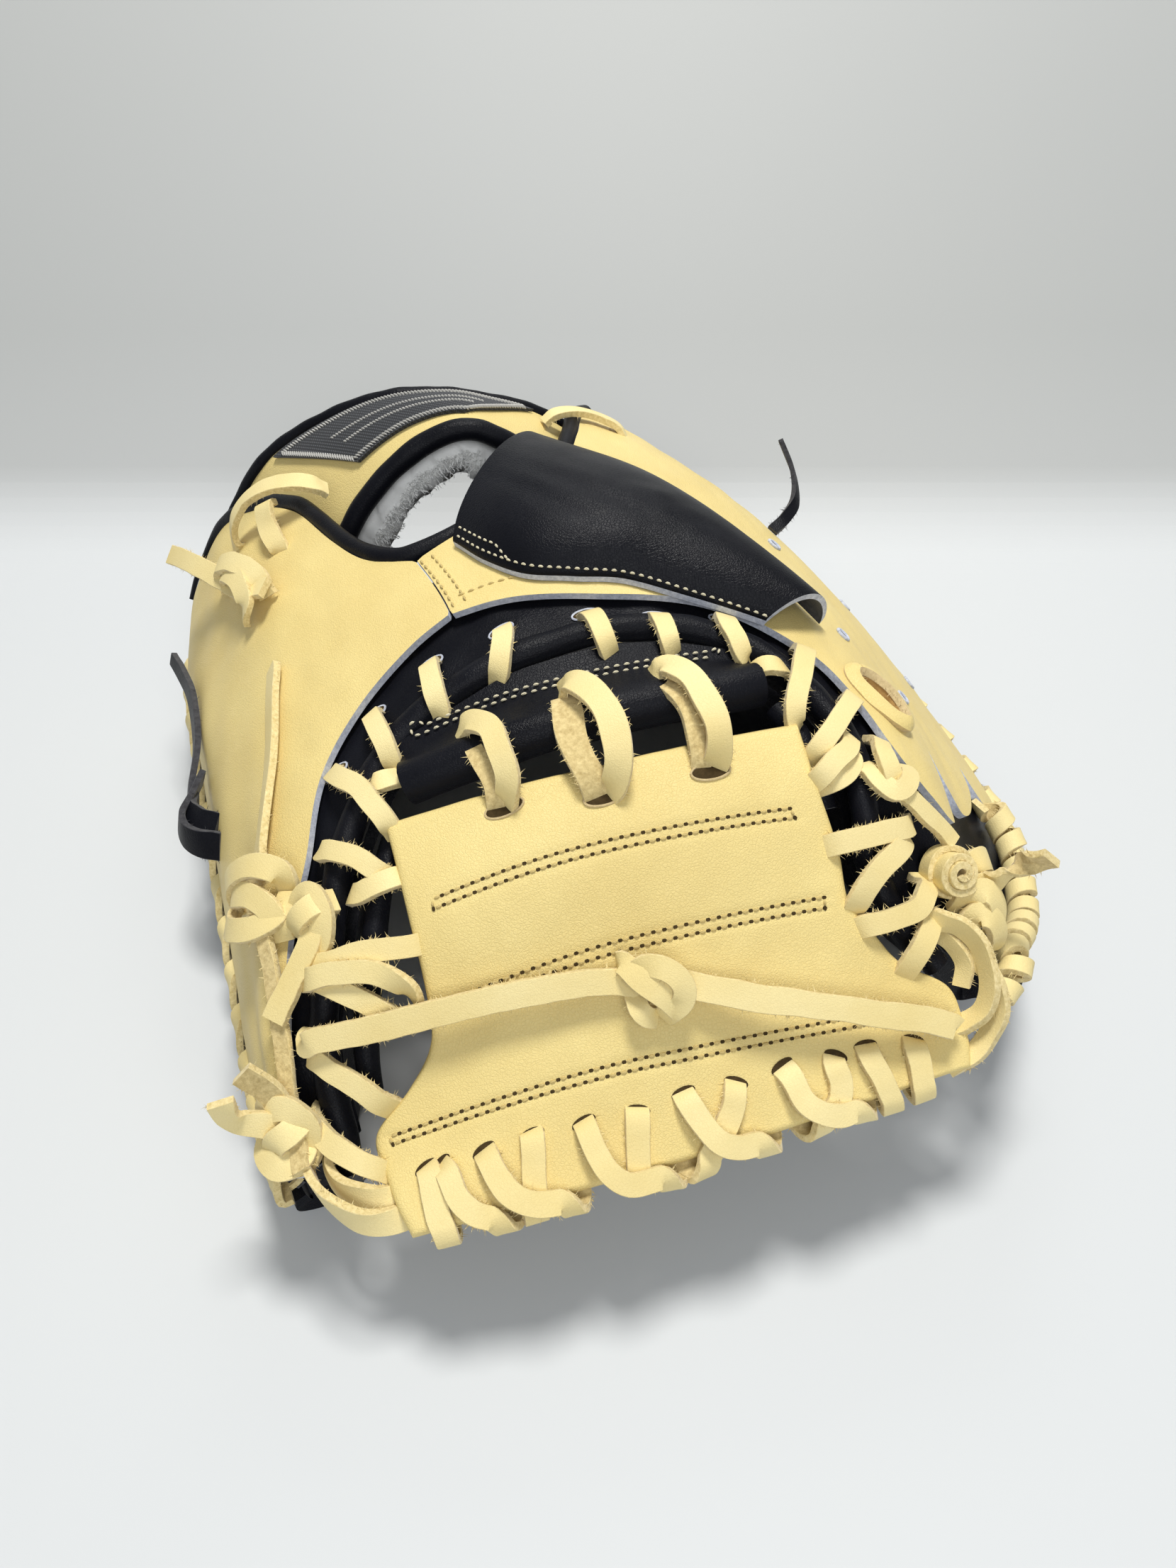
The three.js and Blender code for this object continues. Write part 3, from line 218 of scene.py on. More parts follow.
def swell(s):
    """0 at both ends of 0..1, and 1 in the middle."""
    return np.sin(np.pi * clamp(s))


def spokes(angles, a, b):
    """Directions round a circle in the plane of a and b."""
    return np.cos(angles)[:, None] * a + np.sin(angles)[:, None] * b


def unit(v):
    return v / np.maximum(np.linalg.norm(v, axis=-1, keepdims=True), 1e-9)


def normal(u, y):
    """Direction out of the back surface."""
    du = surface(np.asarray(u) + 0.02, y) - surface(np.asarray(u) - 0.02, y)
    dy = surface(u, np.asarray(y) + 1) - surface(u, np.asarray(y) - 1)
    return unit(np.cross(du, dy))


def back(u, y, lift=0.0):
    """Point that stands off the back surface."""
    return surface(u, y) + normal(u, y) * np.asarray(lift, float)[..., None]


def across(rows, s, t):
    """Place on the back at a share s from one edge to the other, rows of u, y, u, y."""
    q = share(rows, clamp(t))
    return back(q[..., 0] + (q[..., 2] - q[..., 0]) * s,
                q[..., 1] + (q[..., 3] - q[..., 1]) * s)


def beside(rows, at, distance):
    """Place on an edge moved out over the edge: across, along, way out."""
    rows = np.asarray(rows, float)
    near = np.array([max(at - 0.05, 0), at, min(at + 0.05, len(rows) - 1)])
    a, (u, v), b = through(rows[:, :2], near)
    t = unit(surface(*b) - surface(*a))
    out = unit(np.cross(normal(u, v), t))
    parts = max(1, math.ceil(abs(distance) / 3))
    for _ in range(parts):
        du = (surface(u + 0.01, v) - surface(u - 0.01, v)) / 0.02
        dv = surface(u, v + 0.5) - surface(u, v - 0.5)
        skew = dv @ du / (du @ du)
        square = dv - du * skew
        more = distance / parts * (out @ square) / (square @ square)
        u += distance / parts * (out @ du) / (du @ du) - more * skew
        v += more
    return u, v, out


def smooth_noise(p, scale, seed=0):
    """Soft value noise from a few turned sine waves, about -1..1. p in mm."""
    r = np.random.default_rng(seed + 11)
    q = np.asarray(p, float) / scale
    total = 0.0
    for _ in range(7):
        k = r.normal(size=3) * 1.7
        total = total + np.sin(q @ k + r.uniform(0, 6.28))
    return total / 3.2


# ---- meshes
def add(name, data):
    """New object in the scene."""
    ob = bpy.data.objects.new(name, data)
    bpy.context.scene.collection.objects.link(ob)
    return ob


def make(name, verts, faces, mats, index, replaces=(), sharp=40.0):
    """Mesh object from points in mm, with a material for each kind of face."""
    me = bpy.data.meshes.new(name)
    points = (np.asarray(verts) - ORIGIN) / 1000
    me.from_pydata(points.tolist(), [], [list(map(int, f)) for f in faces])
    for m in mats:
        me.materials.append(m)
    me.polygons.foreach_set("material_index", np.asarray(index, np.int32))
    me.polygons.foreach_set("use_smooth", [True] * len(me.polygons))
    me.validate()
    if sharp:
        me.set_sharp_from_angle(angle=math.radians(sharp))
    ob = add(name, me)
    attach(ob, "root")
    for node_name in replaces:
        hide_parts(node_name)
    return ob


def make_all(name, parts, mats, replaces=(), sharp=40.0):
    """One object from several meshes."""
    verts, faces, kind = merge(parts)
    return make(name, verts, faces, mats, kind, replaces, sharp)


def black_roll(name, replaced, points, radius, **how):
    """Padded roll of black leather in place of a CAD node."""
    v, f, k = tube(points, radius, **how)
    make(name, v, f, [BLACK, SUEDE_DARK], k, [replaced])


def slab(ss, ts, place, top, bottom, wrinkle=None):
    """Closed sheet over a surface. Returns vertices, faces and 0 top, 1 edge, 2 underside."""
    ss, ts = (np.linspace(0, 1, x) if isinstance(x, int) else x for x in (ss, ts))
    T, S = np.meshgrid(ts, ss, indexing="ij")
    e = 1e-3
    p = place(S, T)
    n = unit(np.cross(place(S + e, T) - place(S - e, T), place(S, T + e) - place(S, T - e)))
    heart = np.stack([np.full(S.shape, HEART[0]), p[..., 1], np.full(S.shape, HEART[1])], -1)
    flip = ((n * (p - heart)).sum(-1) < 0)
    n[flip] *= -1
    extra = wrinkle(S, T, p) if wrinkle is not None else 0.0
    a = p + n * (np.broadcast_to(top(S, T), S.shape) + extra)[..., None]
    b = p + n * (np.broadcast_to(bottom(S, T), S.shape) + extra * 0.7)[..., None]
    return between(a, b)


def sheet(name, ss, ts, place, top, bottom, wrinkle, mats, replaces=()):
    """Object cut from thick leather or cloth that lies over a surface."""
    v, f, k = slab(ss, ts, place, top, bottom, wrinkle)
    make(name, v, f, mats, k, replaces)


def between(a, b):
    """Closed body between two grids of points."""
    rows, cols = a.shape[:2]
    n = rows * cols
    verts = np.concatenate([a.reshape(-1, 3), b.reshape(-1, 3)])
    grid = np.arange(n).reshape(rows, cols)
    up = np.stack([grid[:-1, :-1], grid[:-1, 1:], grid[1:, 1:], grid[1:, :-1]], -1).reshape(-1, 4)
    rims = ((grid[0, 1:], grid[0, :-1]), (grid[-1, :-1], grid[-1, 1:]),
            (grid[:-1, 0], grid[1:, 0]), (grid[1:, -1], grid[:-1, -1]))
    edge = np.concatenate([np.stack([q, r, n + r, n + q], 1) for q, r in rims])
    faces = np.concatenate([up, edge, (up + n)[:, ::-1]])
    kind = np.repeat([0, 1, 2], [len(up), len(edge), len(up)])
    tri = verts[faces[:, [0, 1, 2]]]
    if (tri[:, 0] * np.cross(tri[:, 1], tri[:, 2])).sum() < 0:
        faces = faces[:, ::-1]
    return verts, faces, kind


def at_places(where, at, values):
    """Values known at the places at, read at the places where."""
    return np.stack([np.interp(where, at, values[:, c]) for c in range(3)], -1)


def hoops(rings, sides):
    """Faces round a row of rings, then its two end faces."""
    j, i = np.meshgrid(np.arange(rings - 1), np.arange(sides), indexing="ij")
    a = (j * sides + i).ravel()
    b = (j * sides + (i + 1) % sides).ravel()
    faces = [list(q) for q in np.stack([a, b, b + sides, a + sides], 1)]
    first = list(range(sides - 1, -1, -1))
    return faces + [first, list(range((rings - 1) * sides, rings * sides))]


def resample(points, faces, step):
    """Smooth curve through points, evenly stepped, with the direction its face looks."""
    points, faces = np.asarray(points, float), np.asarray(faces, float)
    seg = np.linalg.norm(np.diff(points, axis=0), axis=1)
    knots = np.concatenate([[0], np.cumsum(np.maximum(seg, 1e-6) ** 0.5)])
    gaps = np.diff(knots)[:, None]
    count = max(4, int(seg.sum() / step))
    fine = np.linspace(0, knots[-1], max(count * 4, 20))
    i = np.clip(np.searchsorted(knots, fine, side="right") - 1, 0, len(knots) - 2)
    f = (fine - knots[i])[:, None] / gaps[i]

    def curve(values):
        d = np.diff(values, axis=0) / gaps
        bends = (d[1:] * gaps[:-1] + d[:-1] * gaps[1:]) / (knots[2:] - knots[:-2])[:, None]
        m = np.concatenate([d[:1], bends, d[-1:]])
        return hermite(values[i], values[i + 1], m[i], m[i + 1], f, gaps[i])
    p, n = curve(points), curve(faces)
    run = np.concatenate([[0], np.cumsum(np.linalg.norm(np.diff(p, axis=0), axis=1))])
    at = np.linspace(0, run[-1], count + 1)
    return at_places(at, run, p), unit(at_places(at, run, n)), at


def ribbon(points, faces, width=LACE_WIDTH, thick=LACE_THICK, step=1.2, seed=0, cup=0.0):
    """Flat lace cut from a hide. Returns vertices, faces, kind: 0 smooth side, 1 edge, 2 rough side."""
    p, n, at = resample(points, faces, step)
    t = unit(np.gradient(p, axis=0))
    n = unit(n - t * (n * t).sum(1, keepdims=True))
    w = np.cross(t, n)
    along = np.stack([at, at * 0 + 3.1 * seed, at * 0], 1)
    wide = width / 2 * (1 + 0.045 * smooth_noise(along, 7, seed))
    shift = 0.18 * smooth_noise(along, 5, seed + 1)
    x = np.array([-0.95, -0.5, 0, 0.5, 0.95, 1, 1, 0.95, 0, -0.95, -1, -1])
    y = np.array([0.96, 1, 1, 1, 0.96, 0.8, -0.85, -1, -1, -1, -0.85, 0.8])
    bend = cup * (1 - x ** 2)
    ring = (p[:, None] + w[:, None] * (wide[:, None] * x + shift[:, None])[..., None]
            + n[:, None] * (y * thick / 2 + bend)[None, :, None])
    m, k = ring.shape[:2]
    verts = ring.reshape(-1, 3)
    faces = [q[:1] + q[:0:-1] for q in hoops(m, k)[:-2]]
    corner = np.tile(np.arange(k), m - 1)
    kind = list(np.where(corner <= 3, 0, np.where((corner == 7) | (corner == 8), 2, 1)))
    faces += [list(range(k)), list(range(m * k - 1, (m - 1) * k - 1, -1))]
    hair = hairs(p, t, w, n, at, wide, thick, seed)
    faces += [list(q) for q in len(verts) + np.arange(len(hair)).reshape(-1, 3)]
    return np.concatenate([verts, hair]), faces, kind + [1] * (2 + len(hair) // 3)


def hairs(p, t, w, n, at, wide, thick, seed):
    """Corners of the loose hairs that stand off both cut edges of a lace."""
    r = np.random.default_rng(seed * 7 + 5)
    where = r.uniform(0, at[-1], int(at[-1] * HAIRS_PER_MM))
    where = where[smooth_noise(np.stack([where, where * 0 + seed, where * 0], 1), 4, 9) > -0.35]
    count = len(where)
    side = r.choice([-1.0, 1.0], count)[:, None]
    q, t, w, n = (at_places(where, at, v) for v in (p, t, w, n))
    half = np.interp(where, at, wide)[:, None]
    root = q + w * side * half + n * r.uniform(-0.9, 0.2, (count, 1)) * thick / 2
    lean = r.normal(size=(count, 1))
    way = unit(w * side + t * lean * 0.8 + n * r.normal(-0.2, 0.6, (count, 1)))
    long = r.uniform(0.25, 1.0, (count, 1)) ** 1.6 * HAIR_LENGTH
    thin = r.uniform(0.08, 0.17, (count, 1))
    return np.stack([root - t * thin, root + t * thin, root + way * long], 1).reshape(-1, 3)


def merge(parts):
    """One mesh from several."""
    verts, faces, kind = [], [], []
    n = 0
    for v, f, k in parts:
        verts.append(np.asarray(v))
        faces += [[int(x) + n for x in q] for q in f]
        kind += list(k)
        n += len(v)
    return np.concatenate(verts), faces, kind


def tube(points, radius, sides=20, step=1.6, bumpy=0.0, seed=0):
    """Round roll along a path: 0 side, 1 ends."""
    points = np.asarray(points, float)
    up = np.tile([0.0, 0.0, 1.0], (len(points), 1))
    p, n, at = resample(points, up, step)
    t = unit(np.gradient(p, axis=0))
    frames = [unit(np.cross(t[0], [0.31, 0.2, 0.93]))]
    for k in range(1, len(p)):
        v = frames[-1] - t[k] * (frames[-1] @ t[k])
        frames.append(unit(v))
    w = np.array(frames)
    b = np.cross(t, w)
    a = np.linspace(0, 2 * np.pi, sides, endpoint=False)
    ring = p[:, None] + w[:, None] * np.cos(a)[None, :, None] * radius \
        + b[:, None] * np.sin(a)[None, :, None] * radius
    if bumpy:
        k = smooth_noise(ring, 7, seed) * bumpy
        ring = p[:, None] + (ring - p[:, None]) * (1 + k / radius)[..., None]
    faces = hoops(len(p), sides)
    return ring.reshape(-1, 3), faces, [0] * (len(faces) - 2) + [1, 1]


def stitch_row(points, normals, pitch, length, radius, sink=0.12, skew=0.0, hole=0.0):
    """Short threads lying along a path, with needle holes between them drawn as dark discs of painted
    shade.
    """
    p, n, at = resample(points, normals, 0.5)
    total = at[-1]
    out = []
    count = max(1, int(total / pitch))
    rings, sides = 5, 6
    for k in range(count):
        mid = (k + 0.5) * total / count
        q, m = at_places(mid, at, p), unit(at_places(mid, at, n))
        t = unit(at_places(mid + 0.6, at, p) - at_places(mid - 0.6, at, p))
        m = unit(m - t * (m @ t))
        w = np.cross(t, m)
        t = unit(t + w * skew)
        x = np.linspace(-1, 1, rings)
        prof = np.sqrt(np.maximum(0, 1 - np.abs(x) ** 3)) * 0.9 + 0.1
        a = np.linspace(0, 2 * np.pi, sides, endpoint=False)
        arch = (1 - x ** 2) * radius * 0.6 - sink
        ring = (q + t * (x * length / 2)[:, None, None] + m * arch[:, None, None]
                + (w * np.cos(a)[None, :, None] + m * np.sin(a)[None, :, None])
                * (radius * prof)[:, None, None])
        f = hoops(rings, sides)
        out.append((ring.reshape(-1, 3), f, [0] * len(f)))
        if hole:
            c = q + t * (total / count / 2) + m * 0.14
            disc = c + (t * np.cos(a)[:, None] * 1.4 + w * np.sin(a)[:, None]) * hole
            out.append((disc, [list(range(sides))], [1]))
    return out


def on_back(rows, lift, count=60):
    """Points and normals along a path of across, along."""
    u, v = share(rows, np.linspace(0, 1, count)).T
    return back(u, v, lift), normal(u, v)


def lace_path(rows, count):
    """Middle of a lace and the way it faces, from rows of across, along, lift and turn."""
    rows = [[*row, 0][:4] for row in rows]
    u, v, lift, turn = share(rows, np.linspace(0, 1, count)).T
    p = back(u, v, lift)
    n = normal(u, v)
    a = np.radians(turn)[:, None]
    return p, n * np.cos(a) + np.cross(unit(np.gradient(p, axis=0)), n) * np.sin(a)


# ---- materials
def put(n, *ins, **values):
    """Set a node's inputs in order or by name, and its other settings. An output is linked."""
    for key, value in [*enumerate(ins), *values.items()]:
        name = key.replace("_", " ") if isinstance(key, str) else key
        if isinstance(name, str) and name not in n.inputs.keys():
            setattr(n, key, value)
        elif isinstance(value, bpy.types.NodeSocket):
            n.id_data.links.new(value, n.inputs[name])
        else:
            n.inputs[name].default_value = value
    return n


def node(nt, kind, *ins, **values):
    return put(nt.nodes.new("ShaderNode" + kind), *ins, **values)


def material(name, **values):
    """New material, its node tree, its shader and the place on the object."""
    m = bpy.data.materials.new(name)
    m.use_nodes = True
    nt = m.node_tree
    return m, nt, put(nt.nodes["Principled BSDF"], **values), node(nt, "TexCoord").outputs["Object"]


def ramp(nt, source, *stops):
    """Colours along a value, from stops of place and colour."""
    r = node(nt, "ValToRGB", source)
    marks = r.color_ramp.elements
    for mark, (at, colour) in zip(marks, (stops[0], stops[-1])):
        mark.position, mark.color = at, (*colour, 1)
    for at, colour in stops[1:-1]:
        marks.new(at).color = (*colour, 1)
    return r.outputs["Color"]


def bumps(nt, shader, height, strength, distance):
    """Fine relief in a material."""
    bump = node(nt, "Bump", Strength=strength, Distance=distance, Height=height)
    put(shader, Normal=bump.outputs["Normal"])


def leather(name, low, high, dark, rough, grain, pebble, bump, spec, fold, crevice_shade_share):
    """Grained leather: pebbles, fine pores, soft colour clouds, shallow folds and painted shade in the
    grain's crevices.
    """
    m, nt, shader, at = material(name, Specular_IOR_Level=spec, Coat_Roughness=0.35)

    def noise(scale, detail, roughness=0.55):
        return node(nt, "TexNoise", at, Scale=scale, Detail=detail, Roughness=roughness).outputs["Fac"]
    clouds = ramp(nt, noise(26, 4), (0.3, low), (0.7, high))
    warp = node(nt, "TexNoise", at, Scale=pebble * 0.4, Detail=2.0).outputs["Color"]
    push = node(nt, "VectorMath", warp, (1.2 / pebble,) * 3, at, operation="MULTIPLY_ADD")
    cells = node(nt, "TexVoronoi", push.outputs[0], Scale=pebble, feature="DISTANCE_TO_EDGE")
    rim = node(nt, "MapRange", From_Max=0.16, Value=cells.outputs["Distance"]).outputs["Result"]
    pore = noise(pebble * 3.1, 2)
    # Painted shade: the colour is darker in the grain's crevices, by the share given in the last
    # argument.
    crevice_shade = ramp(nt, rim, (0.0, dark), (0.6, (1, 1, 1)))
    mix = node(nt, "Mix", data_type="RGBA", blend_type="MULTIPLY", Factor=crevice_shade_share, A=clouds, B=crevice_shade)
    worn = ramp(nt, noise(60, 3), (0.3, (rough - 0.05,) * 3), (0.72, (rough + 0.09,) * 3))
    height = node(nt, "Math", rim, grain, pore, operation="MULTIPLY_ADD")
    tall = node(nt, "Math", noise(140, 4, 0.6), fold, height.outputs[0], operation="MULTIPLY_ADD")
    put(shader, Base_Color=mix.outputs["Result"], Roughness=worn)
    bumps(nt, shader, tall.outputs[0], bump, 0.00025)
    return m


def suede(name, low, high, scale=700, bump=0.6, sheen=0.25):
    """Raw flesh side or cut edge: fuzzy and matte."""
    m, nt, shader, at = material(name, Roughness=0.92, Specular_IOR_Level=0.15,
                                 Sheen_Weight=sheen, Sheen_Roughness=0.5)
    fuzz = node(nt, "TexNoise", at, Scale=scale, Detail=5.0, Roughness=0.7).outputs["Fac"]
    put(shader, Base_Color=ramp(nt, fuzz, (0.3, low), (0.72, high)))
    bumps(nt, shader, fuzz, bump, 0.0003)
    return m


def thread(name, colour):
    """Twisted sewing thread."""
    m, nt, shader, at = material(name, Roughness=0.7)
    twist = node(nt, "TexWave", at, Scale=1400.0, Distortion=1.0, bands_direction="DIAGONAL")
    ply = twist.outputs["Fac"]
    dark = [c * 0.72 for c in colour]
    put(shader, Base_Color=ramp(nt, ply, (0.2, dark), (0.8, colour)))
    bumps(nt, shader, ply, 0.4, 0.0001)
    return m


def weave(name, colour, light):
    """Woven badge cloth: fine twill ribs."""
    m, nt, shader, at = material(name, Roughness=0.85, Sheen_Weight=0.2)
    ribs = node(nt, "TexWave", at, Scale=330.0, Distortion=0.6, bands_direction="DIAGONAL")
    rows = node(nt, "TexWave", at, Scale=520.0, Distortion=0.4, bands_direction="X")
    cloth = node(nt, "Math", ribs.outputs["Fac"], rows.outputs["Fac"], operation="MULTIPLY").outputs[0]
    put(shader, Base_Color=ramp(nt, cloth, (0.05, colour), (0.9, light)))
    bumps(nt, shader, cloth, 0.7, 0.0003)
    return m


BLOND = leather("blond_leather", (0.735, 0.575, 0.225), (0.81, 0.655, 0.275), (0.8, 0.74, 0.58),
                rough=0.46, grain=0.5, pebble=1150, bump=0.5, spec=0.32, fold=1.0, crevice_shade_share=0.22)
BLACK = leather("black_leather", (0.0045, 0.0048, 0.007), (0.008, 0.0085, 0.012), (0.5, 0.5, 0.55),
                rough=0.36, grain=0.6, pebble=1150, bump=0.3, spec=0.11, fold=1.1, crevice_shade_share=0.5)
PALM_BLACK = leather("palm_leather", (0.006, 0.006, 0.0085), (0.012, 0.012, 0.016), (0.5, 0.5, 0.55),
                     rough=0.4, grain=0.6, pebble=800, bump=0.4, spec=0.13, fold=1.4, crevice_shade_share=0.5)
LACE_TOP = leather("lace_smooth", (0.76, 0.61, 0.265), (0.85, 0.72, 0.37), (0.8, 0.74, 0.6),
                   rough=0.52, grain=0.3, pebble=1200, bump=0.4, spec=0.3, fold=1.6, crevice_shade_share=0.2)
LACE_RAW = suede("lace_suede", (0.46, 0.34, 0.14), (0.78, 0.63, 0.31), bump=0.9)
LACE_EDGE = suede("lace_edge", (0.56, 0.43, 0.17), (0.86, 0.72, 0.39), scale=900)
RAW_BLUE = suede("raw_edge", (0.34, 0.37, 0.46), (0.68, 0.71, 0.8), scale=900)
RAW_TAN = suede("raw_tan", (0.45, 0.34, 0.17), (0.66, 0.52, 0.28), scale=900)
SUEDE_DARK = suede("dark_suede", (0.02, 0.02, 0.024), (0.07, 0.07, 0.078), scale=500)
SUEDE_TAN = suede("tan_suede", (0.42, 0.33, 0.17), (0.6, 0.49, 0.28), scale=400)
SUEDE_BROWN = suede("brown_suede", (0.3, 0.17, 0.05), (0.5, 0.31, 0.11), scale=500)
CREAM = thread("cream_thread", (0.72, 0.66, 0.47))
GOLD = thread("gold_thread", (0.64, 0.49, 0.19))
GREY = thread("grey_thread", (0.5, 0.49, 0.46))
# Dark discs for the mouths of needle holes and lace slots: painted shade.
HOLE_SHADE = suede("painted_hole_shade", (0.035, 0.022, 0.008), (0.07, 0.045, 0.018), sheen=0.0)
PATCH = weave("woven_badge", (0.008, 0.009, 0.012), (0.05, 0.055, 0.065))
# The wool's own pale colour is raised near white as painted light, to brighten it in the shadow under
# the strap.
FLEECE = suede("fleece_wool", (0.86, 0.86, 0.84), (0.97, 0.97, 0.95), scale=260, bump=1.0, sheen=0.6)
BLACK_HIDE = [BLACK, SUEDE_DARK, SUEDE_DARK]


# ---- body of the mitt
def rim_end(rim, v, distance):
    """Place beside the rim where it passes v."""
    rim = np.asarray(rim, float)
    i = 0
    while i < len(rim) - 2 and rim[i + 1, 1] > v:
        i += 1
    at = i + clamp((v - rim[i, 1]) / (rim[i + 1, 1] - rim[i, 1]))
    return beside(rim, at, distance)


def panel(parts, rim, distance, ts):
    """Inner edge of a back panel and where it ends at the rim."""
    q = chain(parts, ts)
    ends = np.array([rim_end(rim, v, distance)[0] for v in q[:, 2]])
    return q, ends


def creases(p, seed):
    """Shallow folds of a back panel."""
    long = smooth_noise(p * [1, 0.35, 1], 4.5, seed + 1)
    return 0.25 * smooth_noise(p, 16, seed) + 0.25 * 0.6 * long


def thumb_panel():
    """Blond leather over the thumb."""
    ts = np.linspace(0, 1, 190)
    q, ends = panel([THUMB_ARCH, THUMB_SEAM, THUMB_OPENING], RIM_THUMB, RIM_CLEAR - 4.5, ts)

    def place(s, t):
        u, v, rim = (np.interp(t, ts, q[:, k]) for k in range(3))
        e = np.interp(t, ts, ends)
        return back(e + (u - e) * s, rim + (v - rim) * s)

    def wrinkle(s, t, p):
        w = creases(p, 3)
        fold = np.exp(-((p[..., 1] - 60) / 40) ** 2) * np.exp(-((p[..., 2] - 60) / 26) ** 2)
        w = w + fold * 1.1 * np.sin((p[..., 1] * 0.5 + p[..., 2]) / 9.0)
        return w * fade(s, 12)
    sheet("thumb_panel", 64, ts, place, lambda s, t: 0.0, lambda s, t: -SHELL, wrinkle,
          [BLOND, RAW_BLUE, SUEDE_TAN], ["thumb_back"])


def finger_panel():
    """Blond leather over the fingers, with tongues at its end."""
    rows = 12
    base = np.concatenate([np.linspace(0, 1 - 0.5 / rows, 150), np.linspace(1 - 0.5 / rows, 1, 16)[1:]])
    q, ends = panel([FINGER_OPENING, FINGER_SEAM, FINGER_ARCH], RIM_FINGER, 4.5 - RIM_CLEAR, base)

    def place(s, t):
        u, v, rim = (np.interp(t, base, q[:, k]) for k in range(3))
        e = np.interp(t, base, ends)
        end = np.maximum(0, (t - 1) * rows * 2 + 1)
        wave = np.abs(np.sin(3 * np.pi * clamp(s))) ** 0.6
        return back(u + (e - u) * s, v + (rim - v) * s - end * (25 - 12 * s) * wave)

    def wrinkle(s, t, p):
        return creases(p, 21) * fade(s, 12)
    sheet("finger_panel", 85, base, place, lambda s, t: 0.0, lambda s, t: -SHELL, wrinkle,
          [BLOND, RAW_BLUE, SUEDE_TAN], ["finger_back"])


def band():
    """Black leather between the back panels and the rolled crotch edge."""
    ts = np.linspace(0.035, 1, 170)
    q = share(BAND, ts)
    edge = np.array([beside(ROLL, a, BAND_CLEAR - 3.6)[:2] for a in q[:, 0]])

    def place(s, t):
        a, b, u, v = (np.interp(t, ts, column) for column in (*q.T[1:3], *edge.T))
        return back(u + (a - u) * s, v + (b - v) * s)

    def wrinkle(s, t, p):
        return 0.3 * smooth_noise(p, 11, 5) + 0.25 * smooth_noise(p, 4.5, 8)
    sheet("crotch_leather", 34, ts, place, lambda s, t: -BAND_DEPTH,
          lambda s, t: -BAND_DEPTH - SHELL, wrinkle, BLACK_HIDE, ["crotch_band"])


def palm_piece():
    """Padded underside, from the rim down to the floor and up to the crotch."""

    def ribs(t):
        q = share(PALM, t)
        q_row = np.asarray(t) * (len(PALM) - 1)
        crotch = through(ROLL, q[..., 6])
        crotch = back(crotch[..., 0], crotch[..., 1], PALM_EDGE - PALM_RIM)
        rim = q[..., 0:3].copy()
        rim[..., 2] += PALM_RAISE * clamp((q_row - 9) / 1.5) * clamp((16 - q_row) / 1.5)
        heel = q[..., 3:6].copy()
        heel[..., 2] = np.maximum(0, heel[..., 2])
        inward = crotch - heel
        inward[..., 2] = 0
        run = np.linalg.norm(inward, axis=-1, keepdims=True)
        inward = inward / run
        low = heel + (rim - heel) * 0.45 - inward * 4
        toe = heel + inward * q[..., 7:8]
        wall = heel + inward * (q[..., 7:8] + run) / 2
        wall[..., 2] = q[..., 8]
        return np.stack([rim, low, heel, toe, wall, crotch], -2)

    def place(s, t):
        r = ribs(t)
        flat = r.reshape(-1, 6, 3)
        at = clamp(s).reshape(-1) * 5
        i = np.minimum(at.astype(int), 4)
        each = np.arange(len(flat))
        return spline(lambda j: flat[each, j], i, 5, at - i).reshape(r.shape[:-2] + (3,))
    ss, ts = np.linspace(0, 1, 60), np.linspace(0.058, 0.96, 200)
    T, S = np.meshgrid(ts, ss, indexing="ij")
    e = 1e-3
    p = place(S, T)
    n = unit(np.cross(place(clamp(S + e), T) - place(clamp(S - e), T),
                      place(S, clamp(T + e)) - place(S, clamp(T - e))))
    over = p + n * (PALM_RIM + (PALM_PAD - PALM_RIM) * np.sin(np.pi * S))[..., None]
    soft = 0.35 * smooth_noise(p, 14, 2) + 0.25 * smooth_noise(p, 5, 4)
    under = p - n * (soft * fade(S, 10))[..., None]
    under[..., 2] = np.maximum(under[..., 2], 0)
    v, f, k = between(under, over)
    palm = make("palm_leather", v, f, [PALM_BLACK, BLACK, SUEDE_DARK], k, ["palm"])


def welts():
    """Sewn edge that the rim lacing winds round."""
    for name, rim in (("thumb", RIM_THUMB), ("finger", RIM_FINGER)):
        grid = np.array([[beside(rim, t * (len(rim) - 1), -9.3 + 18.6 * s)[:2]
                          for s in np.linspace(0, 1, 9)] for t in np.linspace(0, 0.93, 90)])
        a = back(grid[..., 0], grid[..., 1], -2.4)
        b = back(grid[..., 0], grid[..., 1], -2.4 - WELT_THICK)
        v, f, k = between(a, b)
        make(f"rim_edge_{name}", v, f, [BLACK, SUEDE_DARK, BLACK], k,
             [f"rim_welt_{name}"])


def rolls():
    """Rolled edge of the crotch and the two short rolls inside it."""
    q = through(ROLL, np.linspace(0.25, len(ROLL) - 1, 120))
    black_roll("rolled_crotch_edge", "crotch_roll", back(q[:, 0], q[:, 1], ROLL_DEPTH), ROLL_RADIUS,
               sides=26, step=1.6, bumpy=0.28, seed=3)
    for name, rows in (("thumb", INNER_ROLL_THUMB), ("finger", INNER_ROLL_FINGER)):
        path = back(*share(rows, np.linspace(0, 1, 40)).T)
        black_roll(f"second_roll_{name}", f"inner_roll_{name}", path, INNER_ROLL_RADIUS,
                   sides=24, step=1.5, bumpy=0.25, seed=5)


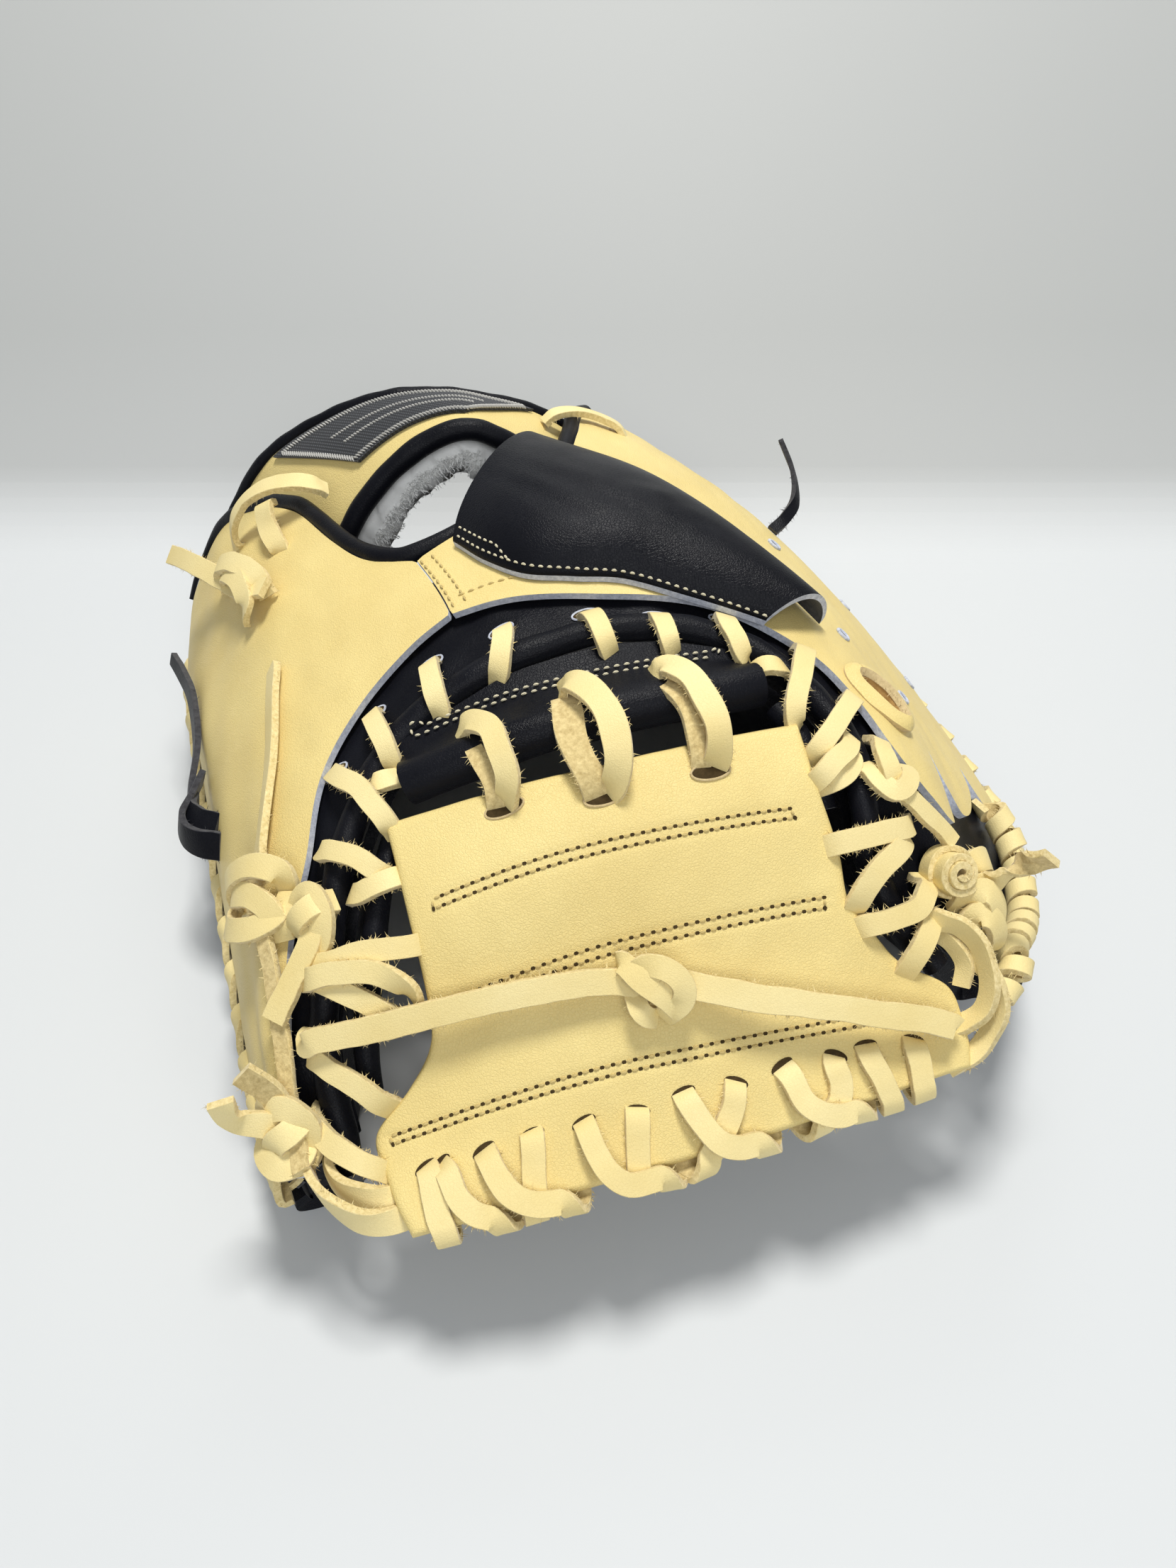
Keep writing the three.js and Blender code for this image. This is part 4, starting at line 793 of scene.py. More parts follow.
def web_bar():
    """Bar above the web: a tube and the sewn flap that runs up to the band."""
    rows = np.array([[3.475, -28.5, 3.505, -41], [3.7, -27.5, 3.72, -44], [3.87, -26.5, 3.96, -46],
                     [4.04, -27, 4.18, -48], [4.28, -28.5, 4.4, -49.6], [4.48, -32, 4.57, -50.8],
                     [4.73, -39.5, 4.705, -50.8]])
    q = share(rows, np.linspace(0, 1, 60))
    black_roll("web_bar_tube", "web_bar", back(q[:, 2], q[:, 3], -0.6), BAR_RADIUS,
               sides=36, step=1.2, bumpy=0.16, seed=31)

    def rise(s, t):
        x = clamp((s - 0.3) / 0.7)
        return BAR_RISE * x * x * (3 - 2 * x)
    sheet("web_bar_flap", 40, 100, lambda s, t: across(rows, s, t), rise,
          lambda s, t: rise(s, t) - BAR_THICK, lambda s, t, p: 0.14 * smooth_noise(p, 12, 31),
          BLACK_HIDE)


# Rows of thread on the bar's flap and on the web: across, along
BAR_ROWS = [
    [(3.58, -28.7), (3.72, -30.3), (3.84, -31.5), (3.99, -33.3), (4.12, -34.5), (4.3, -36),
     (4.46, -37.2), (4.6, -38)],
    [(3.535, -29.8), (3.58, -30.8), (3.71, -32.1), (3.83, -33.2), (3.99, -35.1), (4.14, -36.5),
     (4.29, -37.8), (4.44, -39), (4.59, -40)],
    [(3.58, -28.7), (3.555, -26.6), (3.525, -26), (3.535, -29.8)],
    [(4.6, -38), (4.64, -37.4), (4.62, -39.6)]]
WEB_ROWS = [[(3.57, -73), (4.58, -84)], [(3.57, -75), (4.58, -86)], [(3.57, -92), (4.55, -102)],
            [(3.56, -93.7), (4.54, -104)], [(3.27, -110), (4.58, -126)], [(3.27, -112), (4.59, -128)]]


def web_height(u, v):
    """Soft swells of the web and the dips along its stitching."""
    p = surface(u, v)
    w = 0.3 * smooth_noise(p, 18, 41) + 0.1 * smooth_noise(p, 5, 42)
    for (u0, v0), (u1, v1) in WEB_ROWS:
        line = v0 + (v1 - v0) * (u - u0) / (u1 - u0)
        on = clamp((u - u0 + 0.03) * 40) * clamp((u1 + 0.03 - u) * 40)
        w = w - 0.3 * np.exp(-((v - line) / 0.8) ** 2) * on
    return w


def web_panel():
    """Blond web with rounded edges."""
    near = 0.5 - 0.5 * np.cos(np.linspace(0, np.pi, 40))
    ss = np.unique(np.round(np.concatenate([near[:8], np.linspace(0.03, 0.97, 110), near[-8:]]), 5))
    ts = np.unique(np.round(np.concatenate([np.linspace(0, 0.03, 8), np.linspace(0, 1, 150),
                                            np.linspace(0.97, 1, 8)]), 5))

    def uv(s, t):
        q = share(WEB, clamp(t))
        return (q[..., 0] + (q[..., 2] - q[..., 0]) * s,
                q[..., 1] + (q[..., 3] - q[..., 1]) * s + q[..., 4] * swell(s))

    def place(s, t):
        return back(*uv(s, t))

    def rounded(s, t):
        d = np.minimum(np.minimum(s, 1 - s) * 130, np.minimum(t, 1 - t) * 88)
        x = clamp(d / (WEB_THICK / 2))
        return np.sqrt(np.maximum(0.02, 1 - (1 - x) ** 2))

    def wrinkle(s, t, p):
        return web_height(*uv(s, t)) * fade(s, 60)
    sheet("web_leather", ss, ts, place, lambda s, t: WEB_LIFT + WEB_THICK / 2 * rounded(s, t),
          lambda s, t: WEB_LIFT - WEB_THICK / 2 * rounded(s, t), wrinkle, [BLOND, BLOND, SUEDE_TAN],
          ["web_panel"])


def sleeve_rise(s, t):
    q = share(SLEEVE, clamp(t))
    return GAP + q[..., 4] * swell(s) ** 0.7


def sleeve():
    """Hood for the index finger."""

    def wrinkle(s, t, p):
        w = 0.25 * smooth_noise(p, 20, 51)
        zone = np.exp(-((s - 0.33) / 0.13) ** 2) * np.exp(-((t - 0.3) / 0.22) ** 2)
        w = w - zone * (0.9 + 0.35 * smooth_noise(np.stack([s * 30, t * 9, t * 0], -1), 1.5, 53))
        zone = np.exp(-((s - 0.5) / 0.2) ** 2) * np.exp(-((t - 0.52) / 0.18) ** 2)
        w = w + zone * 0.16 * smooth_noise(np.stack([s * 26, t * 30, t * 0], -1), 1.5, 54)
        return w * fade(s, 9)
    ss = np.concatenate([np.linspace(0, 0.12, 24)[:-1], np.linspace(0.12, 0.88, 90),
                         np.linspace(0.88, 1, 24)[1:]])
    sheet("finger_sleeve", ss, 150, lambda s, t: across(SLEEVE, s, t),
          lambda s, t: sleeve_rise(s, t) + SLEEVE_THICK, sleeve_rise, wrinkle,
          [BLACK, RAW_BLUE, SUEDE_DARK], ["index_sleeve"])


# ---- wrist strap
def strap_place(s, t):
    q = share(STRAP, clamp(t))
    return q[..., :3] + (q[..., 3:] - q[..., :3]) * np.asarray(s)[..., None]


def strap():
    """Wrist strap and its two rolled edges."""

    def crown(s, t):
        return STRAP_CROWN * swell(s)
    sheet("strap_leather", 30, 110, strap_place, crown,
          lambda s, t: crown(s, t) - STRAP_THICK, lambda s, t, p: 0.2 * smooth_noise(p, 12, 61),
          [BLOND, RAW_TAN, SUEDE_TAN], ["wrist_strap"])
    for name, edge, radius in (("outer", 0, STRAP_ROLL_OUTER), ("inner", 1, STRAP_ROLL_INNER)):
        t = np.linspace(0, 1, 60)
        p = strap_place(edge, t)
        side = unit(p - strap_place(0.5, t))
        black_roll(f"strap_roll_{name}", f"strap_binding_{name}", p + side * (radius + 0.4) + [0, 0, -1],
                   radius + STRAP_ROLL_MORE, sides=22, step=1.5, bumpy=0.2, seed=9)


def badge():
    """Woven patch on the strap, with its border and plain stripes."""

    def place(s, t):
        return strap_place(0.06 + 0.74 * s, (0.33 + 0.09 * s) + (0.55 - 0.29 * s) * t)

    def lift(s, t):
        return STRAP_CROWN * np.sin(np.pi * (0.06 + 0.74 * clamp(s))) + GAP
    sheet("woven_patch", 24, 90, place, lambda s, t: lift(s, t) + PATCH_THICK, lift, None,
          [PATCH, PATCH, PATCH], ["strap_patch"])

    def sewn(start, end, count, **how):
        s, t = np.linspace(start, end, count).T
        p = place(s, t)
        n = unit(np.cross(place(s + 1e-3, t) - p, place(s, t + 1e-3) - p))
        n[n[:, 2] < 0] *= -1
        return stitch_row(p + n * (lift(s, t) + PATCH_THICK)[:, None], n, **how)
    near, low = 0.07, 0.0175
    corners = [(near, low), (1 - near, low), (1 - near, 1 - low), (near, 1 - low), (near, low)]
    parts = []
    for start, end in zip(corners, corners[1:]):
        parts += sewn(start, end, 40, pitch=1.15, length=2.6, radius=0.5, sink=0.1, skew=0.9)
    for s in (0.4, 0.6):
        parts += sewn((s, 0.12), (s, 0.88), 50, pitch=1.1, length=1.5, radius=0.42, sink=0.15, skew=0.5)
    make_all("patch_thread", parts, [GREY])


def fleece():
    """Wool lining under the strap."""

    def place(s, t):
        return strap_place(0.14 + 1.02 * s, 0.1 + 0.82 * t)
    v, f, k = slab(46, 120, place, lambda s, t: -STRAP_THICK - GAP - 9 * clamp(s - 0.8) * 5 * 0.55,
                   lambda s, t: -STRAP_THICK - FLEECE_THICK * (0.75 + 0.75 * clamp(s) ** 2))
    move = 0.9 * smooth_noise(v, 5, 71) + 0.7 * smooth_noise(v, 2.6, 72)
    v = v + np.stack([move, 0.8 * smooth_noise(v, 3.5, 73), -np.abs(move)], 1) * 0.8
    lining = make("fleece_lining", v, f, [FLEECE], np.zeros(len(f)), ["wrist_fleece"],
                  sharp=None)
    tufts(v, f, k)


def tufts(v, f, k):
    """Thin curled blades of wool on the fleece's inner side and free edges."""
    corners = v[f]
    way = np.cross(corners[:, 1] - corners[:, 0], corners[:, 2] - corners[:, 0])
    area = np.where(k > 0, np.linalg.norm(way, axis=1), 0)
    count = TUFTS
    pick = rng.choice(len(f), count, p=area / area.sum())
    a, b = rng.random((2, count, 1))
    swap = (a + b) > 1
    a, b = np.where(swap, 1 - a, a), np.where(swap, 1 - b, b)
    quad = corners[pick]
    root = quad[:, 0] + (quad[:, 1] - quad[:, 0]) * a + (quad[:, 3] - quad[:, 0]) * b
    n = unit(way[pick])
    side = unit(np.cross(n, rng.normal(size=(count, 3))))
    lean = unit(n + 0.8 * rng.normal(size=(count, 3)))
    length = rng.uniform(1.2, 2.6, (count, 1))
    wide = rng.uniform(0.12, 0.3, (count, 1))
    mid = root + lean * length * 0.6 + side * rng.normal(size=(count, 1)) * 0.4
    tip = mid + unit(lean + rng.normal(size=(count, 3)) * 0.9) * length * 0.5
    blade = np.stack([root - side * wide, root + side * wide, mid + side * wide * 0.8,
                      mid - side * wide * 0.8, tip], 1)
    first = np.arange(count)[:, None] * 5
    faces = [list(q) for q in first + [0, 1, 2, 3]] + [list(q) for q in first + [3, 2, 4]]
    make("fleece_tufts", blade.reshape(-1, 3), faces, [FLEECE], np.zeros(len(faces)),
         sharp=None)


def binding():
    """Rolled edge of the hand opening."""
    beyond = -BINDING_RADIUS - 0.2
    points = []
    for at in np.linspace(0.3, len(THUMB_OPENING) - 1, 26)[::-1]:
        u, v, _ = beside(THUMB_OPENING, at, beyond)
        points.append(back(u, v, -SHELL / 2 + 0.3))
    for at in np.linspace(0.5, len(FINGER_OPENING) - 1.3, 16)[::-1]:
        u, v, _ = beside(FINGER_OPENING, at, beyond)
        under = math.sin(math.pi * min(max((at - 1.5) / 3.5, 0), 1))
        points.append(back(u, v, -SHELL / 2 + 0.3 - 2.6 * under))
    black_roll("opening_edge_roll", "opening_binding", points, BINDING_RADIUS + 0.1,
               sides=22, step=1.5, bumpy=0.22, seed=13)


def finger_loop():
    """Short thick loop that stands up as an oval ring round a lace hole."""
    middle, ang = (5.3, -56.0), np.linspace(0, 2 * np.pi, 61)
    lift = 1.4 + 1.1 * np.sin(ang)

    def oval(share_out):
        return (middle[0] + 0.115 * share_out * np.sin(ang - 0.5),
                middle[1] + 9.0 * share_out * np.cos(ang))
    up = normal(*oval(1.0))
    ring = back(*oval(1.0), lift)
    out = unit(ring - back(*middle, 1.0))
    outer = ribbon(ring, unit(up * 0.8 + out * 0.5), width=4.6, thick=2.4, step=0.8, seed=301, cup=0.5)
    make_all("blond_loop", [outer], [BLOND, RAW_TAN, SUEDE_BROWN], ["finger_loop"])
    verts, faces, _ = ribbon(back(*oval(0.66), lift - 1.5), unit(up * 0.3 - out),
                             width=3.4, thick=1.2, step=0.8, seed=302)
    floor = (back(*oval(0.7), 0.4)[:-1], [list(range(60))], [0])
    make_all("loop_inside", [(verts, faces, [0] * len(faces)), floor], [SUEDE_BROWN])


# ---- laces
# Strips of lace, a row per bend: across, along, lift, and the turn in degrees where there is one.
# A strip may have a width of its own before its rows.
ARCH = [
    [[3.86, -8.5, -4.6], [3.88, -12, 0.5], [3.89, -15.5, 3.2], [3.88, -21, 3.8], [3.86, -25, 1.6],
     [3.84, -26.5, -3]],
    [[3.57, -6.5, -4.6], [3.59, -10.5, 0.5], [3.61, -14.5, 3.2], [3.63, -22, 3.8], [3.64, -26.5, 1.6],
     [3.63, -28.5, -3]],
    [[3.33, -11.5, -4.6], [3.36, -15.5, 0.8], [3.39, -19.5, 3.4], [3.44, -27.5, 3.8],
     [3.455, -32.5, 1.4], [3.45, -34.5, -3]],
    [[3.35, -34, -3], [3.39, -36.8, 1.3], [3.44, -38, 1.5], [3.49, -37.5, -2.5]],
    [[3.16, -21.5, -4.4], [3.19, -25, 0.6], [3.28, -31.5, 3.8], [3.36, -38, 4.6], [3.42, -45.5, 4.4],
     [3.45, -50, 2.4], [3.45, -52, -3]],
    [[3.13, -42, -4], [3.17, -45.5, 1.6], [3.24, -48.5, 3.8], [3.34, -54, 4.4], [3.4, -59, 3.4],
     [3.43, -61.5, -0.5]],
    [[3.27, -58.8, -3], [3.31, -61, 1], [3.35, -62.5, 2.6], [3.41, -63, 3], [3.46, -63.6, 1.6],
     [3.49, -63.5, -3]],
    [[4.22, -13.5, -4.6], [4.23, -17, 0.5], [4.24, -21, 3.2], [4.25, -27, 3.8], [4.26, -30, 1.6],
     [4.27, -31.5, -3]],
    [[4.49, -19.5, -4.6], [4.48, -23, 0.5], [4.47, -26.5, 3.2], [4.465, -32.5, 3.8], [4.47, -35, 1.6],
     [4.48, -36.5, -3]],
    [[4.76, -24, -4.6], [4.73, -27, 0.5], [4.7, -31, 3.2], [4.695, -37, 3.8], [4.7, -41.5, 1.6],
     [4.72, -43, -3]],
    [[4.72, -46, -2], [4.75, -46.5, 1.8], [4.8, -47.5, 2], [4.87, -47, -2]],
    [[5.03, -38, -4], [4.98, -41, 0.6], [4.93, -45, 3.8], [4.83, -54, 4.8], [4.765, -60.5, 3.6],
     [4.75, -64, 0.8], [4.76, -65.5, -3]],
    [[5.1, -57, -4], [5.05, -59.5, 0.8], [4.99, -62, 3.6], [4.85, -68.5, 4.8], [4.76, -73, 3.2],
     [4.73, -75, -3]],
    [[4.95, -70, -3], [4.9, -72, 1.6], [4.84, -75, 4], [4.76, -77.5, 4.8], [4.71, -79.5, 3],
     [4.68, -80.5, -2.5]],
    [[4.87, -73.5, -3], [4.86, -76.5, 1.6], [4.82, -79, 2.4], [4.76, -80.5, 2.6], [4.7, -81, -2.5]]]
THUMB_SIDE = [
    [[3.07, -69.3, -3], [3.11, -70, 2.6], [3.18, -72, 4.4], [3.37, -76, 5.2], [3.48, -79, 3.4],
     [3.54, -80.5, -4]],
    [[3.1, -73, 2.6], [3.16, -74.5, 6.2], [3.25, -76, 7], [3.38, -80, 7.4], [3.45, -85, 5.6, 30],
     [3.46, -88.5, 2, 60], [3.44, -91, -4, 60]],
    [[3.08, -72.5, -3], [3.12, -73.2, 2.6], [3.19, -76, 4.8], [3.32, -83, 5.6], [3.38, -88, 4],
     [3.42, -92, -4]],
    [[3.04, -86, -3], [3.08, -87, 2.6], [3.14, -89.5, 5.2], [3.24, -96, 6.2], [3.29, -102, 4.4],
     [3.32, -107, -4]],
    [[2.99, -96.5, -3], [3.02, -98, 2.6], [3.08, -102.5, 5.6], [3.14, -110, 6.4], [3.18, -115.5, 3.6],
     [3.21, -118.5, -4]]]
FINGER_SIDE = [
    [[5.0, -92.4, -3.5], [4.95, -92.6, 0.6], [4.9, -93, 3.6], [4.79, -93, 5], [4.69, -93, 4.6],
     [4.64, -92.8, 2.6], [4.6, -92.8, -3]],
    [[4.94, -94.5, -3.5], [4.9, -95.2, 1], [4.84, -96.5, 4.6], [4.74, -99, 6.2], [4.67, -102, 5.4],
     [4.63, -105, 3], [4.61, -107.5, -2.5]],
    [[4.92, -103.5, -3.5], [4.9, -105.5, 0.8], [4.86, -107, 3.4], [4.8, -109, 5], [4.71, -109.5, 5.2],
     [4.63, -109.5, 3], [4.59, -110, -3]],
    [[4.9, -111, -3.5], [4.87, -112, 0.6], [4.83, -113.5, 3.6], [4.78, -116, 5], [4.74, -118.5, 4],
     [4.71, -121, 1], [4.7, -122, -3]]]
TOP_LACE = [
    (6.2, [[3.7, -36, -2], [3.72, -37.5, 3], [3.77, -39.5, 7], [3.83, -45, 10, 5], [3.855, -52, 11, 10],
      [3.86, -58, 9, 10], [3.845, -61, 5, 5], [3.82, -62, -2]]),
    (4.6, [[3.73, -39.5, 1, 180], [3.75, -43, 3.6, 180], [3.78, -50, 5, 178], [3.8, -56.5, 4.6, 178],
      [3.8, -60.8, 1.6, 180], [3.8, -61.5, -2, 180]]),
    (7.2, [[4.06, -38.5, -2], [4.08, -39, 3], [4.11, -41, 7.6], [4.16, -48, 11, 5],
      [4.185, -56.5, 12, 10], [4.18, -64, 10.4, 10], [4.155, -68.2, 5.6, 5], [4.12, -69.5, -2]]),
    (7.6, [[4.07, -40.5, 0.6, 180], [4.075, -43.5, 3.6, 180], [4.07, -50, 5.4, 178],
      [4.07, -57.5, 6, 176], [4.09, -64.5, 5, 178], [4.1, -68.5, 1.5, 180], [4.1, -69.5, -2, 180]]),
    (6.8, [[4.36, -42.5, -2], [4.38, -43, 3], [4.41, -44, 6.6], [4.445, -50.5, 10, 5],
      [4.46, -58.5, 11, 10], [4.46, -65, 10, 10], [4.45, -69.5, 5.4, 5], [4.43, -71.8, -2]]),
    (5.2, [[4.38, -43.5, 1.6, 180], [4.39, -46.5, 3.6, 180], [4.41, -53.5, 6, 178], [4.42, -60, 6, 178],
      [4.41, -67, 4, 178], [4.4, -70.5, 1.2, 180], [4.4, -71.5, -2, 180]])]
FOOT = [
    [[3.32, -119.5, -1.5], [3.32, -122.5, 3.2], [3.29, -129.5, 3.5], [3.27, -135, 3]],
    [[3.355, -120.5, -1.5], [3.37, -124, 4], [3.36, -130, 5], [3.38, -134.5, 4.6], [3.42, -137, 3]],
    [[3.62, -122.5, -1.5], [3.62, -124.5, 3.1], [3.59, -130.5, 3.3], [3.555, -136, 2.9]],
    [[3.485, -121.5, -1.5], [3.49, -124.5, 3.6], [3.49, -129.5, 5], [3.505, -134, 5.6],
     [3.55, -137.5, 5], [3.62, -139, 3.4]],
    [[3.91, -126.5, -1.5], [3.9, -128.5, 3.1], [3.87, -134.5, 3.3], [3.85, -139, 2.9]],
    [[3.755, -124.5, -1.5], [3.76, -127, 3.6], [3.76, -132.5, 5], [3.775, -137, 5.8],
     [3.82, -140.5, 5.4], [3.91, -141.5, 3.4]],
    [[4.2, -128.5, -1.5], [4.185, -130.5, 3.1], [4.16, -134.5, 3.3], [4.11, -138.5, 3],
     [4.07, -141, 2.8]],
    [[4.045, -126.5, -1.5], [4.05, -129, 3.6], [4.07, -134, 5], [4.1, -138.5, 5.8], [4.15, -141, 5.2],
     [4.21, -142, 3.4]],
    [[4.47, -130.5, -1.5], [4.455, -132.5, 3.1], [4.46, -137, 3.3], [4.45, -140, 3],
     [4.41, -142.5, 2.8]],
    [[4.315, -128.5, -1.5], [4.33, -131.5, 3.6], [4.35, -137, 5], [4.39, -140.5, 5.4],
     [4.44, -142.5, 4.6], [4.49, -143, 3.2]],
    [[4.55, -130.5, -1.5], [4.55, -133, 3.4], [4.575, -138.5, 3.8], [4.6, -143.5, 3]],
    [[4.7, -133, -1.5], [4.69, -135, 3.2], [4.7, -140, 3.4], [4.71, -143.5, 3]]]
TIP_ROPE = [
    [6.5, -70, 1], [6.6, -78, 1.5], [6.65, -87, 2.5], [6.65, -96, 3], [6.6, -104, 3.5],
    [6.4, -111, 4], [6.0, -118, 4], [5.5, -125, 3], [5.15, -131, 1]]
TIED = {
    "web_knot": [
        [[3.07, -83, -4], [3.07, -83.5, 3], [3.1, -84.5, 6.8], [3.17, -85.2, 8], [3.47, -91, 8],
         [3.75, -97, 7], [3.92, -101.5, 6], [4.02, -105.5, 5.2]],
        [[4.02, -103.5, 5], [4.13, -108.3, 6.6], [4.27, -114, 9], [4.41, -119, 10], [4.6, -126, 9.4],
         [4.8, -132.8, 7], [4.815, -133.4, 6.6]],
        (5.8, [[3.98, -99.5, 4.6], [3.99, -100, 7.4], [4.01, -103.5, 9.4], [4.05, -107.5, 9.8],
          [4.08, -111, 8], [4.09, -112.2, 4.8]]),
        (5.8, [[4.0, -102, 7], [4.04, -101.6, 9.4], [4.08, -103.5, 11], [4.105, -107, 11],
          [4.095, -110, 9.8], [4.06, -111.4, 7.4], [4.045, -112, 4.6]]),
        (5.8, [[3.985, -106.5, 5], [3.985, -109, 7], [4.0, -110.8, 6.4], [4.02, -111.6, 4.4]])],
    "thumb_knot": [
        (5.8, [[2.81, 26, 1.7, 22], [2.81, 24, 1.8, 22], [2.77, 11.5, 1.9, 22], [2.75, -12, 1.9, 22],
          [2.73, -30, 2.2, 18], [2.76, -38, 3]]),
        [[2.2, -34, 1], [2.32, -34.5, 4.4], [2.55, -36, 7.4], [2.82, -40, 8.4], [2.99, -45.5, 6.4],
         [3.0, -49.5, 1]],
        [[2.3, -37, 2.4], [2.38, -43, 5.6], [2.56, -49.5, 7], [2.82, -55, 6.4], [2.98, -55.5, 4.8],
         [3.01, -50.5, 2]],
        [[2.4, -37.5, 3], [2.6, -41, 6.4], [2.84, -48, 7], [2.97, -56, 5], [2.98, -60.5, 1.4]],
        (4.2, [[2.8, -45, 5, 180], [2.83, -51.5, 5.2, 180], [2.9, -62.5, 4, 180],
          [2.93, -72.5, 3.4, 180], [2.94, -82, 3.4, 180], [2.94, -90, 4.4, 180], [2.96, -100, 7, 180],
          [2.93, -109.5, 8.6, 180]])],
    "edge_knot": [
        [[3.06, -60, -2], [3.07, -57.5, 2.4], [3.12, -55.5, 5], [3.18, -57.5, 6.4], [3.22, -63.5, 6],
         [3.19, -68, 4], [3.12, -66.5, 1.6]],
        [[3.07, -62, 2], [3.1, -61, 6], [3.15, -60.5, 7.4], [3.2, -60, 6.4], [3.24, -60, 2]],
        [[3.18, -60, 4.4], [3.16, -66, 5], [3.07, -71.5, 5], [2.93, -77, 5]]],
    "tip_knot": [
        [[2.84, -96, 5, 180], [2.89, -91.5, 7, 180], [2.86, -87.5, 9.6, 180], [2.8, -83.5, 14, 180]],
        [[2.88, -97, 5.6], [2.8, -94.5, 8], [2.67, -92, 11], [2.65, -90, 14.5, 20],
         [2.69, -87, 18, 40]],
        [[2.72, -93, 2], [2.79, -91.5, 6.6], [2.95, -93, 8.6], [3.03, -98.5, 7], [2.97, -104, 4],
         [2.86, -104.5, 1]],
        [[2.74, -95.5, 3], [2.66, -99.5, 7], [2.76, -104.5, 8], [2.93, -105, 7], [3.01, -100.5, 3.6]],
        [[2.7, -101, 4], [2.83, -98.5, 9], [2.95, -97.5, 9], [3.02, -96, 4]]],
    "opening_knot": [
        [[2.42, 106, 15], [2.54, 92, 11.5], [2.62, 81.5, 7.4], [2.7, 70.5, 5], [2.78, 63, 4.6]],
        [[2.55, 83, 1], [2.62, 83, 5], [2.72, 79, 9], [2.84, 70, 9.6], [2.91, 60, 7], [2.89, 55.5, 2]],
        [[2.62, 77, 4], [2.72, 74, 8], [2.8, 64, 9], [2.78, 55, 6.6], [2.68, 55, 2]],
        [[2.72, 68, 3.4], [2.78, 62.5, 5.4], [2.86, 57.5, 6], [2.93, 53.5, 6.4]]],
    "finger_tip_knot": [
        [[5.1, -108, 0], [5.24, -107.5, 4], [5.27, -106, 10], [5.26, -105.5, 16], [5.25, -106, 23, 10]],
        [[5.02, -112, -1], [5.06, -109.5, 3.6], [5.14, -109, 5.6], [5.2, -112.5, 5], [5.2, -117.5, 2]],
        [[5.0, -116, 0], [5.06, -113.5, 4], [5.14, -115, 5], [5.2, -119, 3], [5.2, -121, -1]],
        [[5.2, -104, -2], [5.27, -102, 2], [5.4, -101, 3.4], [5.55, -101.5, 3]]],
    "finger_edge_knot": [
        (5.6, [[5.06, -71, -2.5], [5.03, -73.5, 1.4], [4.98, -76.5, 4], [4.95, -80.5, 5.4],
          [4.94, -83.5, 4.6], [4.94, -85.5, 1]]),
        (5.6, [[4.9, -77.5, -2], [4.89, -80, 2.4], [4.885, -83, 4.6], [4.91, -85.6, 6],
          [4.97, -85, 6.4], [5.03, -82.5, 4.6], [5.06, -80, 1]]),
        (5.0, [[4.9, -82.5, 4], [4.93, -84.5, 4.8], [4.97, -87.5, 4.8], [5.02, -91, 4],
          [5.1, -96.5, 2.6], [5.12, -98, 2.4]])]}
LOOSE = {
    "corner_loop_thumb": [
        [[2.98, -97, 0, 60], [2.96, -103, 3, 70], [2.93, -111, 5, 75], [2.92, -119, 5, 75],
         [2.98, -125.5, 3, 60], [3.1, -128, -1, 40], [3.24, -128, -4, 20]],
        [[3.04, -104, -1, 50], [3.02, -110, 2, 60], [3.03, -117, 3, 60], [3.1, -122, 1, 40],
         [3.2, -123.5, -3, 20]]],
    "corner_loop_finger": [
        (5.6, [[4.84, -111.5, 0, 20], [4.88, -112.8, 3, 40], [4.94, -115, 6, 60], [4.99, -120, 7.4, 75],
          [5.0, -127, 7, 80], [4.97, -132.5, 4.6, 70], [4.9, -134.5, 1, 50], [4.84, -134.5, -2, 20]]),
        (5.6, [[4.94, -118, 0, 40], [4.98, -121.5, 4, 60], [5.03, -127, 6.4, 75], [5.06, -133, 5.4, 75],
          [5.02, -138, 2.4, 60], [4.94, -141, 0, 40], [4.84, -142.5, -3, 20]]),
        (4.6, [[4.88, -115, -1, 40], [4.91, -118, 2, 60], [4.94, -122.5, 2.6, 60],
          [4.92, -127, 1, 40]])],
    "strap_lace_thumb": [
        [[2.76, 96, -3], [2.78, 97.5, 2], [2.88, 98, 7], [3.02, 98, 9.6], [3.16, 94.5, 10.6],
         [3.28, 90, 9.4], [3.36, 87.5, 6], [3.4, 87, 1]],
        [[3.12, 92, 6], [3.1, 89.5, 8], [3.05, 84, 4.6], [3.04, 77, 1.6], [3.03, 75.5, -2]]],
    "strap_lace_finger": [
        (5.2, [[4.7, 96, -2], [4.76, 96, 1.6], [4.9, 97, 3], [5.05, 96.5, 2.8], [5.2, 93, 1.8],
          [5.27, 91, -1]])]}
SIDE_CORD = [
    (5.0, [[1.66, 8, 2], [1.6, 16, 5.4], [1.62, 24, 5.4], [1.7, 40, 2.6], [1.76, 60, 2.4],
      [1.74, 74, 3.4], [1.7, 88, 6]]),
    (9.0, [[1.68, -2, -0.5], [1.6, 2, 5], [1.54, 8, 8.6], [1.54, 15, 8.8], [1.6, 22, 5],
      [1.64, 28, 2]]),
    (7.0, [[1.76, 4, 0, 20], [1.7, 8, 4.4, 20], [1.6, 15, 6.6, 20], [1.54, 21, 4]])]
LOOSE_CORD = [
    [[6.05, 42, 0.4], [6.12, 44, 6], [6.2, 49, 13], [6.17, 56, 20], [6.05, 64, 26]]]


def lace_piece(name, parts, replaces):
    make_all(name, parts, [LACE_TOP, LACE_EDGE, LACE_RAW], replaces, sharp=34)


def black_lace(name, parts, replaces):
    make_all(name, parts, BLACK_HIDE, replaces, sharp=34)


